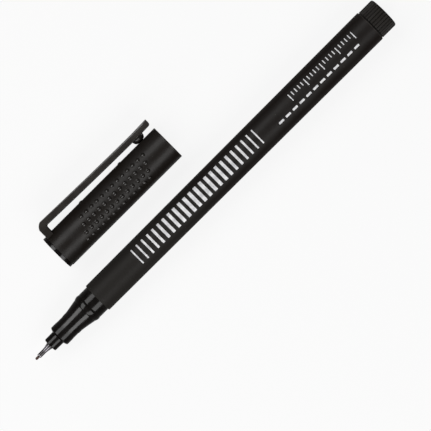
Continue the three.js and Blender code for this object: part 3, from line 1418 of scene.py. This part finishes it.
@dataclass
class Marks(Assembly):
    """Plain printed bars on the barrel: strokes from fine to broad, a scale and a dashed line.

    Places along the barrel are counted from the nib's tip, and places across from its axis.
    """

    body: ClassVar[Body] = Body.PEN
    barrel: Piece
    strokes_from: float = 36.2 * MM
    stroke_pitch: float = 1.84 * MM
    strokes: int = 24
    finest: float = 0.34 * MM
    broadest: float = 0.95 * MM
    stroke_low: float = -2.0 * MM
    stroke_high: float = 2.55 * MM
    scale_from: float = 91.2 * MM
    scale_pitch: float = 1.1 * MM
    scale_ticks: int = 21
    long_every: int = 5
    tick_width: float = 0.26 * MM
    tick_low: float = 0.25 * MM
    tick_high: float = 2.35 * MM
    tick_short: float = 1.2 * MM
    dash_from: float = 85.4 * MM
    dash_pitch: float = 2.4 * MM
    dashes: int = 12
    dash_length: float = 1.6 * MM
    dash_low: float = -1.6 * MM
    dash_high: float = -1.05 * MM
    corner: float = 0.1 * MM
    ink: float = 0.02 * MM
    merge: float = 0.0001 * MM
    slices: int = 24
    nib: Run = run_of("fibre_nib")
    tube: Run = run_of("barrel")

    def bars(self) -> list[Bar]:
        """All bars.

        Returns:
            The strokes, the scale's ticks and the dashes.
        """
        found = []
        for i in range(self.strokes):
            share = math.sin(math.pi * (i + 0.5) / self.strokes)
            width = self.finest + (self.broadest - self.finest) * share
            along = self.strokes_from + i * self.stroke_pitch
            found.append(Bar(along, width, self.stroke_low, self.stroke_high))
        for i in range(self.scale_ticks):
            low = self.tick_short if i % self.long_every else self.tick_low
            along = self.scale_from + i * self.scale_pitch
            found.append(Bar(along, self.tick_width, low, self.tick_high))
        for i in range(self.dashes):
            along = self.dash_from + i * self.dash_pitch
            found.append(Bar(along, self.dash_length, self.dash_low, self.dash_high))
        return found

    def build(self) -> None:
        """Builds the bars as one thin piece that follows the barrel."""
        piece = named(join([self.flat_bar(bar) for bar in self.bars()]), "printed_bars")
        edit(piece)
        self.slice_across()
        leave()
        apply_modifier(
            piece,
            "SHRINKWRAP",
            target=self.barrel,
            wrap_method="PROJECT",
            use_project_z=True,
            use_positive_direction=False,
            use_negative_direction=True,
        )
        apply_modifier(piece, "SOLIDIFY", thickness=self.ink, offset=0.0)
        edit(piece)
        close_up(self.merge)
        leave()
        self.dress(smooth(piece), SilverInk("silver_ink"), "barrel_soft_black")

    def flat_bar(self, bar: Bar) -> Piece:
        """One bar, flat above the barrel.

        Args:
            bar: the bar's place and size.

        Returns:
            Its plane.
        """
        start_clean()
        above = self.tube.z + 2 * self.tube.radius
        middle = self.tube.y + (bar.low + bar.high) / 2
        place = (self.nib.start + bar.along, middle, above)
        bpy.ops.mesh.primitive_plane_add(size=1, location=place)
        piece = bpy.context.object
        piece.scale = (bar.width, bar.high - bar.low, 1)
        fix_place()
        return piece

    def slice_across(self) -> None:
        """Rounds the bars' corners and cuts them across, so that they can follow the barrel."""
        bpy.ops.mesh.select_all(action="SELECT")
        bpy.ops.mesh.bevel(offset=self.corner, segments=3, affect="VERTICES")
        reach = self.stroke_high - self.stroke_low
        for i in range(1, self.slices):
            across = self.tube.y + self.stroke_low + reach * i / self.slices
            bpy.ops.mesh.select_all(action="SELECT")
            bpy.ops.mesh.bisect(plane_co=(0, across, 0), plane_no=(0, 1, 0))


@dataclass
class CapAssembly(Assembly):
    """The cap's shell with its grip bumps, the end disc and the liner inside.

    The first row and the angle between two rows are in degrees, from straight up to the pen.
    """

    body: ClassVar[Body] = Body.CAP
    bore: float = 3.985 * MM
    back_edge: float = 0.05 * MM
    mouth_edge: float = 0.12 * MM
    mouth_lead: float = 0.3 * MM
    mouth_line: float = 0.62 * MM
    line_depth: float = 0.03 * MM
    line_half: float = 0.05 * MM
    disc_thickness: float = 0.86 * MM
    disc_edge: float = 0.07 * MM
    disc_radius: float = 4.84 * MM
    disc_lead: float = 0.2 * MM
    groove_radius: float = 4.55 * MM
    shell_start: float = 0.93 * MM
    liner_bore: float = 3.04 * MM
    liner_wall: float = 0.65 * MM
    liner_web: float = 0.8 * MM
    liner_base: float = 15.0 * MM
    liner_lead: float = 0.15 * MM
    base_edge: float = 0.2 * MM
    ring_length: float = 1.5 * MM
    ring_front: float = 0.1 * MM
    ring_edge: float = 0.08 * MM
    bump_radius: float = 0.59 * MM
    bump_height: float = 0.24 * MM
    low_bump_height: float = 0.1 * MM
    pip_height: float = 0.18 * MM
    bump_root: float = 0.04 * MM
    bump_sides: int = 16
    bump_turns: tuple[float, ...] = (1.0, 0.8, 0.6, 0.4, 0.2, 0.06)
    bump_pitch: float = 1.8 * MM
    bumps: int = 13
    rows: int = 4
    first_row: float = -24.6
    row_angle: float = 21.8
    first_bump: float = 10.9 * MM
    row_shift: float = 0.9 * MM
    pip_places: tuple[float, ...] = (13.2 * MM, 26.85 * MM)
    notch_length: float = 2.81 * MM
    notch_width: float = 3.6 * MM
    sides: int = 160
    shell: Run = run_of("cap_shell")
    disc: Run = run_of("cap_end_plug")
    liner: Run = run_of("inner_cap")

    def build(self) -> None:
        """Builds and dresses all pieces."""
        soft = SoftTouch(
            "cap_soft_touch",
            (self.shell.end,),
            grip=self.shell,
            dark=srgb(31, 27, 24),
            gloss=0.27,
            roughness=(0.36, 0.44),
            fades=(0.07, 0.36),
            edge=0.02,
        )
        disc_black = GlossBlack("disc_black", gloss=0.42)
        white = MouldedPlastic("liner_white")
        self.dress(self.make_shell(), soft, "cap_soft_black", "cap_shell")
        self.dress(self.make_disc(), disc_black, "gloss_black", "cap_end_plug")
        self.dress(self.make_liner(), white, "liner_plastic", "inner_cap")

    def make_shell(self) -> Piece:
        """The shell: a tube, a notch for the clip's foot, and the bumps.

        Returns:
            The shell, with the bumps in it.
        """
        start, end, outside = self.disc.start + self.shell_start, self.shell.end, self.shell.radius
        line_at = end - self.mouth_line
        outline = [
            Corner(start, self.bore),
            Corner(start, outside, self.back_edge),
            Corner(line_at - self.line_half, outside),
            Corner(line_at, outside - self.line_depth),
            Corner(line_at + self.line_half, outside),
            Corner(end, outside, self.mouth_edge),
            Corner(end, self.bore, self.mouth_lead, steps=3),
        ]
        shell = self.disc.lathe(self.sides).turn("soft_cap", outline, ring=True)
        cut(shell, self.notch())
        bumps = self.make_bumps()
        return join([smooth(shell), *(smooth(bump, sharpest=60) for bump in bumps)])

    def notch(self) -> Piece:
        """The room that the clip's foot takes out of the shell.

        Returns:
            The tool that cuts it.
        """
        x, y, z = self.disc.start, self.disc.y, self.disc.z
        half = self.notch_width / 2
        high = (x + self.notch_length, y + 2 * self.shell.radius, z + half)
        return box_piece("notch", (x, y, z - half), high)

    def make_bumps(self) -> list[Piece]:
        """All rows of bumps, the mirrored ones underneath included, and two locating pips.

        Returns:
            The rows and the pips, each in its place.
        """
        row = self.bump_row(self.bump_height)
        low_row = self.bump_row(self.low_bump_height)
        pip = self.bump("pip", self.pip_height)
        placed = []
        for i in range(self.rows):
            angle = self.first_row + i * self.row_angle
            along = self.disc.start + self.first_bump - i * self.row_shift
            placed.append(self.copy_to(row, along, angle))
            placed.append(self.copy_to(low_row, along, 180 - angle))
        for place in self.pip_places:
            placed.append(self.copy_to(pip, self.disc.start + place, -90))
        for model in (row, low_row, pip):
            discard(model)
        return placed

    def bump(self, name: str, height: float) -> Piece:
        """One bump, low and round, that points up the x axis from the shell's surface.

        Args:
            name: the bump's name.
            height: how far it stands up.

        Returns:
            The bump.
        """
        foot = self.bump_radius
        ball = (foot ** 2 + height ** 2) / (2 * height)
        steepest = math.asin(foot / ball)
        dome = [Corner(-self.bump_root, foot)]
        for share in self.bump_turns:
            angle = steepest * share
            dome.append(Corner(height - ball * (1 - math.cos(angle)), ball * math.sin(angle)))
        return Lathe(0, 0, self.bump_sides).turn(name, dome)

    def bump_row(self, height: float) -> Piece:
        """A row of bumps along z, each a copy of the first.

        Args:
            height: how far they stand up.

        Returns:
            The row, as one object.
        """
        row = self.bump("row", height)
        apply_modifier(
            row,
            "ARRAY",
            count=self.bumps,
            use_relative_offset=False,
            use_constant_offset=True,
            constant_offset_displace=(0, 0, -self.bump_pitch),
        )
        return row

    def copy_to(self, model: Piece, along: float, degrees: float) -> Piece:
        """A copy of a bump or row on the shell, turned from the top towards the pen.

        Args:
            model: what to copy; its outward direction is x and its row runs down z.
            along: the first bump's place along x.
            degrees: the angle from straight up, towards -y.

        Returns:
            The copy, with its own mesh.
        """
        copy = model.copy()
        copy.data = model.data.copy()
        bpy.context.collection.objects.link(copy)
        upright = Matrix.Rotation(math.radians(-90), 4, "Y")
        lifted = Matrix.Translation((0, 0, self.shell.radius))
        turned = Matrix.Rotation(math.radians(degrees), 4, "X")
        placed = Matrix.Translation((along, self.disc.y, self.disc.z))
        return settle(copy, placed @ turned @ lifted @ upright)

    def make_disc(self) -> Piece:
        """The glossy disc at the closed end, a gap, and its spigot in the shell.

        Returns:
            The disc.
        """
        start, disc, spigot = self.disc.start, self.disc_radius, self.bore - PRESS
        back, shell = start + self.disc_thickness, start + self.shell_start
        outline = [
            Corner(start, disc, self.disc_edge),
            Corner(back, disc, self.disc_edge),
            Corner(back, self.groove_radius),
            Corner(shell, self.groove_radius),
            Corner(shell, spigot),
            Corner(self.disc.end, spigot, self.disc_lead),
        ]
        return smooth(self.disc.lathe(self.sides).turn("glossy_disc", outline))

    def make_liner(self) -> Piece:
        """The liner: a tube with a web across it and two rings that hold it in the shell.

        Returns:
            The liner.
        """
        bore, ring, wall = self.liner_bore, self.liner.radius, self.liner_bore + self.liner_wall
        start, end = self.liner.start, self.liner.end
        base = self.disc.start + self.liner_base
        slope = self.ring_length + (ring - wall)
        outline = [
            Corner(base - self.liner_web, bore),
            Corner(start, bore),
            Corner(start, ring, self.ring_front),
            Corner(start + self.ring_length, ring, self.ring_edge),
            Corner(start + slope, wall),
            Corner(end - slope, wall),
            Corner(end - self.ring_length, ring, self.ring_edge),
            Corner(end, ring, self.ring_edge),
            Corner(end, bore, self.liner_lead),
            Corner(base, bore, self.base_edge),
        ]
        return smooth(self.disc.lathe(self.sides).turn("white_liner", outline))


@dataclass
class PocketClip(Assembly):
    """The pocket clip: an arm out of the shell, a long blade and a round boss under it.

    Places along the clip are distances from the cap's closed end.
    """

    body: ClassVar[Body] = Body.CLIP
    thickness: float = 1.65 * MM
    root_width: float = 6.0 * MM
    tip_width: float = 4.4 * MM
    arm_start: float = 0.97 * MM
    arm: float = 1.98 * MM
    foot_depth: float = 0.45
    overhang: float = 0.06 * MM
    root_gap: float = 1.81 * MM
    boss_gap: float = 1.27 * MM
    end_gap: float = 1.41 * MM
    sweep: float = 1.6
    outer_bend: float = 1.62 * MM
    bend_profile: float = 0.4
    inner_bend: float = 0.5 * MM
    tip_round: float = 0.6 * MM
    facet: Span = (0.22 * MM, 0.5 * MM)
    facet_tilt: float = 24.0
    facet_ramp: int = 4
    facet_stop: Span = (1.35 * MM, 0.85 * MM)
    outer_edge: float = 0.12 * MM
    edge: float = 0.1 * MM
    boss_radius: float = 1.725 * MM
    boss_place: float = 34.6 * MM
    boss_flat: float = 0.75 * MM
    boss_clearance: float = 0.02 * MM
    boss_root: float = 0.4 * MM
    boss_taper: float = 0.98
    boss_turns: tuple[int, ...] = (15, 30, 45, 60, 75, 90)
    boss_sides: int = 48
    saddle_clearance: float = 0.03 * MM
    saddle_sides: int = 160
    tongue_length: float = 1.1 * MM
    tongue_width: float = 3.0 * MM
    tongue_depth: float = 0.6 * MM
    cuts: int = 14
    shell: Run = run_of("cap_shell")
    disc: Run = run_of("cap_end_plug")

    def gap(self, along: float) -> float:
        """How far the blade stands off the shell.

        Args:
            along: the place along the clip.

        Returns:
            The gap.
        """
        root = self.arm_start + self.arm
        if along <= self.boss_place:
            share = min(1.0, (self.boss_place - along) / (self.boss_place - root))
            return self.boss_gap + (self.root_gap - self.boss_gap) * share ** self.sweep
        share = (along - self.boss_place) / (self.length() - self.boss_place)
        return self.boss_gap + (self.end_gap - self.boss_gap) * share

    def length(self) -> float:
        """The distance from the closed end to the clip's free end."""
        return self.shell.end - self.disc.start - self.overhang

    def width(self, along: float) -> float:
        """The blade's width at a place along the clip."""
        return self.root_width + (self.tip_width - self.root_width) * along / self.length()

    def build(self) -> None:
        """Builds and dresses the clip."""
        blade = self.make_blade()
        cut(blade, self.shell_room())
        cut(blade, self.make_boss(), "UNION")
        cut(blade, self.make_tongue(), "UNION")
        satin = SatinClip("clip_satin", self.disc.y + self.shell.radius + self.boss_gap)
        self.dress(smooth(blade, sharpest=30), satin, "clip_satin_black", "clip")

    def make_blade(self) -> Piece:
        """The arm and the blade, shaped from one block.

        Returns:
            Both, without the boss and the tongue.
        """
        x, z, shell = self.disc.start, self.disc.z, self.disc.y + self.shell.radius
        under, inside = shell + self.root_gap, shell + self.end_gap
        top, arm_end, end = under + self.thickness, self.arm_start + self.arm, self.length()
        half = self.root_width / 2
        low, high = (x + self.arm_start, under, z - half), (x + end, top, z + half)
        blade = box_piece("pocket_clip", low, high)
        edit(blade)
        for station in self.stations():
            bpy.ops.mesh.select_all(action="SELECT")
            bpy.ops.mesh.bisect(plane_co=(x + station, 0, 0), plane_no=(1, 0, 0))

        def is_foot(face: bmesh.types.BMFace) -> bool:
            """Whether a face looks down from the arm."""
            looks_down = face.normal.y < -0.5
            return looks_down and face.calc_center_median().x < x + arm_end

        pick(blade, Part.FACE, is_foot)
        drop = self.root_gap + self.shell.radius * self.foot_depth
        bpy.ops.mesh.extrude_region_move(TRANSFORM_OT_translate={"value": (0, -drop, 0)})
        bend_at, profile = self.arm_start, self.bend_profile
        self.round_corner(blade, bend_at, top, self.outer_bend, steps=10, profile=profile)
        self.round_corner(blade, arm_end, under, self.inner_bend, steps=5)
        self.tilt_facets(blade, top)
        self.sweep_blade(blade)
        self.round_corner(blade, end, inside, self.tip_round, steps=6)
        self.round_corner(blade, end, inside + self.thickness, self.edge, steps=2)
        self.soften_edges(blade, outside=True, reach=self.outer_edge, steps=3)
        self.soften_edges(blade, outside=False, reach=self.edge, steps=2)
        close_up()
        leave()
        return blade

    def stations(self) -> dict[float, float]:
        """Where the blade is cut across, and how much facet each place has.

        Returns:
            The facet's share, by the place along the clip.
        """
        start, end = self.arm_start + self.arm, self.length()
        found = {}
        for i in range(self.cuts):
            found[start + (end - start) * i / self.cuts] = min(1.0, i / self.facet_ramp)
        full, none = self.facet_stop
        found[end - full] = 1.0
        found[end - none] = 0.0
        return found

    def round_corner(
        self,
        blade: Piece,
        along: float,
        height: float,
        reach: float,
        steps: int,
        profile: float = 0.5,
    ) -> None:
        """Rounds the edge that runs across the blade at one place.

        Args:
            blade: the blade, open in edit mode.
            along: the edge's place along the clip.
            height: its place along y.
            reach: how far the rounding reaches.
            steps: how many stretches it has.
            profile: 0.5 for a round corner, less for a flatter one.
        """
        slack = 0.05 * MM

        def wanted(edge: bmesh.types.BMEdge) -> bool:
            """Whether this is the edge.

            Args:
                edge: an edge of the blade.

            Returns:
                True if it is.
            """
            ends = [vertex.co for vertex in edge.verts]
            across = abs(ends[0].z - ends[1].z) > self.tip_width / 2
            placed = all(abs(p.x - self.disc.start - along) < slack for p in ends)
            return across and placed and all(abs(p.y - height) < slack for p in ends)

        pick(blade, Part.EDGE, wanted)
        bpy.ops.mesh.bevel(offset=reach, segments=steps, profile=profile, affect="EDGES")

    def squeeze(
        self,
        blade: Piece,
        place: float,
        share: float,
        slack: float,
        above: float = -math.inf,
    ) -> None:
        """Selects the blade's vertices at one place along x and draws them in across it.

        Args:
            blade: the blade, open in edit mode.
            place: the place along x.
            share: how much of their distance from the middle is left.
            slack: how far from the place a vertex may lie.
            above: where along y the wanted vertices start.
        """

        def wanted(vertex: bmesh.types.BMVert) -> bool:
            """Whether a vertex is one of them."""
            return abs(vertex.co.x - place) < slack and vertex.co.y > above

        pick(blade, Part.VERTEX, wanted)
        middle = (place, 0, self.disc.z)
        bpy.ops.transform.resize(value=(1, 1, share), center_override=middle)

    def tilt_facets(self, blade: Piece, top: float) -> None:
        """Gives the outer long edges a narrow facet that widens towards the free end.

        Args:
            blade: the blade, open in edit mode.
            top: the outer face's place along y.
        """
        x, slack = self.disc.start, 0.01 * MM
        start = x + self.arm_start + self.arm
        near, far = self.facet
        slope = (far - near) / (x + self.length() - start)
        bpy.ops.mesh.select_all(action="SELECT")
        bpy.ops.mesh.bisect(plane_co=(start, top - near, 0), plane_no=(slope, 1, 0))
        for station, share in self.stations().items():
            place = x + station
            width = near + slope * (place - start)
            inset = width * math.tan(math.radians(self.facet_tilt)) * share
            left = 1 - inset / (self.root_width / 2)
            self.squeeze(blade, place, left, slack, top - slack)

    def sweep_blade(self, blade: Piece) -> None:
        """Narrows the blade towards its free end and brings it nearer to the shell.

        Args:
            blade: the blade, open in edit mode.
        """
        slack = 0.0006 * MM
        shape = bmesh.from_edit_mesh(blade.data)
        for place in sorted({round(vertex.co.x / MM, 3) * MM for vertex in shape.verts}):
            along = place - self.disc.start
            self.squeeze(blade, place, self.width(along) / self.root_width, slack)
            bpy.ops.transform.translate(value=(0, self.gap(along) - self.root_gap, 0))

    def soften_edges(self, blade: Piece, outside: bool, reach: float, steps: int) -> None:
        """Rounds the long edges on the outside or on the inside of the arm and the blade.

        Args:
            blade: the blade, open in edit mode.
            outside: True for the outer edges, False for the inner ones.
            reach: how far the rounding reaches.
            steps: how many stretches it has.
        """
        outwards, sideways = 0.3, 0.9  # shares of a face's normal

        def outer(face: bmesh.types.BMFace) -> bool:
            """Whether a face is on the outside of the arm or blade."""
            return face.normal.y > outwards or face.normal.x < -outwards

        def wanted(edge: bmesh.types.BMEdge) -> bool:
            """Whether an edge lies between a side of the blade and such a face.

            Args:
                edge: an edge of the blade.

            Returns:
                True if it does.
            """
            sides = [face for face in edge.link_faces if abs(face.normal.z) > sideways]
            others = [face for face in edge.link_faces if face not in sides]
            return len(sides) == 1 and len(others) == 1 and outer(others[0]) == outside

        pick(blade, Part.EDGE, wanted)
        bpy.ops.mesh.bevel(offset=reach, segments=steps, affect="EDGES")

    def shell_room(self) -> Piece:
        """The room that the shell takes out of the arm's foot.

        Returns:
            The tool that cuts it.
        """
        radius = self.shell.radius + self.saddle_clearance
        before, past = self.disc.start - self.arm, self.disc.start + 4 * self.arm
        outline = [Corner(before, radius), Corner(past, radius)]
        return self.disc.lathe(self.saddle_sides).turn("shell_room", outline)

    def make_boss(self) -> Piece:
        """The round boss under the blade, which all but touches the shell.

        Returns:
            The boss, in its place.
        """
        gap, wide, flat = self.gap(self.boss_place), self.boss_radius, self.boss_flat
        reach = gap - self.boss_clearance
        outline = [Corner(-self.boss_root, wide * self.boss_taper), Corner(0, wide)]
        for turn in self.boss_turns:
            angle = math.radians(turn)
            radius = flat + (wide - flat) * math.cos(angle)
            outline.append(Corner(reach * math.sin(angle), radius))
        boss = Lathe(0, 0, self.boss_sides).turn("boss", outline)
        place = (self.disc.start + self.boss_place, self.disc.y + self.shell.radius + gap)
        placed = Matrix.Translation((*place, self.disc.z))
        return settle(boss, placed @ Matrix.Rotation(math.radians(-90), 4, "Z"))

    def make_tongue(self) -> Piece:
        """The tongue that holds the clip's foot in the shell's notch.

        Returns:
            The tongue.
        """
        x, z = self.disc.start + self.arm_start + self.arm / 2, self.disc.z
        shell = self.disc.y + self.shell.radius
        half_x, half_z = self.tongue_length / 2, self.tongue_width / 2
        low = (x - half_x, shell - self.tongue_depth, z - half_z)
        high = (x + half_x, shell + self.root_gap, z + half_z)
        return box_piece("tongue", low, high)


# The studio


@dataclass(frozen=True)
class SoftBox:
    """A long soft box beside the marker, at an angle in degrees from straight up."""

    name: str
    towards: float
    width: float
    distance: float = 0.8
    length: float = 1.38
    shift: float = -0.56
    brightness: float = 3.0

    def place(self, centre: Vector) -> None:
        """Hangs the soft box and turns it to the marker.

        Args:
            centre: the point that it is hung round.
        """
        angle = math.radians(self.towards)
        aside = Vector((0, math.sin(angle), math.cos(angle)))
        light = bpy.data.lights.new(self.name, "AREA")
        light.shape = "RECTANGLE"
        light.size = self.length
        light.size_y = self.width
        light.energy = self.brightness * math.pi * self.length * self.width
        lamp = bpy.data.objects.new(self.name, light)
        bpy.context.collection.objects.link(lamp)
        turn = Matrix.Rotation(-angle, 4, "X")
        shifted = centre + aside * self.distance + Vector((self.shift, 0, 0))
        lamp.matrix_world = Matrix.Translation(shifted) @ turn


@dataclass
class Studio:
    """The floor, the world, the soft boxes and the camera."""

    floor_size: float = 12.0
    floor_tone: Colour = (0.85, 0.85, 0.85, 1.0)
    floor_roughness: float = 0.9
    floor_white: float = 0.88
    world_tone: Colour = (0.08, 0.08, 0.08, 1.0)
    lamps_aim: Place = (0, 0, 5 * MM)
    camera_place: Place = (-4.3 * MM, -15.743 * MM, 845.0 * MM)
    tilt: float = 44.944
    lens: float = 280.73
    sensor: float = 36.0
    sight: Span = (0.01, 50.0)
    boxes: tuple[SoftBox, ...] = (
        SoftBox("soft_box_left", 37.5, 0.474),
        SoftBox("soft_box_right", -46.0, 0.459),
    )

    def build(self) -> None:
        """Sets up everything round the marker."""
        self.lay_floor()
        self.light()
        self.aim()
        bpy.context.scene.view_settings.view_transform = "Standard"

    def lay_floor(self) -> None:
        """The pale floor at z = 0."""
        start_clean()
        bpy.ops.mesh.primitive_grid_add(x_subdivisions=8, y_subdivisions=8, size=self.floor_size)
        floor = named(bpy.context.object, "floor")
        material = bpy.data.materials.new("pale_floor")
        material.use_nodes = True
        tree = material.node_tree
        shader = tree.nodes["Principled BSDF"]
        feed(tree, shader, "Base Color", self.floor_tone)
        feed(tree, shader, "Roughness", self.floor_roughness)
        feed(tree, shader, "Specular IOR Level", 0.0)
        rays = put(tree, "LightPath").outputs
        seen = sums(tree, "MAXIMUM", rays["Is Camera Ray"], rays["Is Glossy Ray"])
        seen = sums(tree, "MAXIMUM", seen, rays["Is Transmission Ray"])
        share = sums(tree, "MULTIPLY", seen, self.floor_white)
        white = put(tree, "Emission", {"Strength": 1.0})
        blend = put(tree, "MixShader", {0: share, 1: shader.outputs[0], 2: white.outputs[0]})
        out = tree.nodes["Material Output"]
        tree.links.new(blend.outputs[0], out.inputs["Surface"])
        floor.data.materials.append(material)

    def light(self) -> None:
        """The soft boxes and the dim room round them."""
        for box in self.boxes:
            box.place(Vector(self.lamps_aim))
        world = bpy.data.worlds.new("dim_room")
        world.use_nodes = True
        world.node_tree.nodes["Background"].inputs["Color"].default_value = self.world_tone
        bpy.context.scene.world = world

    def aim(self) -> None:
        """The camera, straight above, turned so that the pen rises to the right."""
        camera = bpy.data.cameras.new("camera")
        camera.lens = self.lens
        camera.sensor_width = self.sensor
        camera.clip_start, camera.clip_end = self.sight
        stand = bpy.data.objects.new("camera", camera)
        bpy.context.collection.objects.link(stand)
        stand.location = self.camera_place
        stand.rotation_euler = (0, 0, math.radians(-self.tilt))
        bpy.context.scene.camera = stand


def main() -> None:
    """Builds the marker and the studio in order."""
    logging.basicConfig(level=logging.INFO, format="%(name)s: %(message)s")
    effects = Effects()
    WritingEnd(effects).build()
    barrel = Barrel(effects).build()
    Marks(effects, barrel).build()
    CapAssembly(effects).build()
    PocketClip(effects).build()
    Studio().build()


if __name__ == "__main__":
    main()
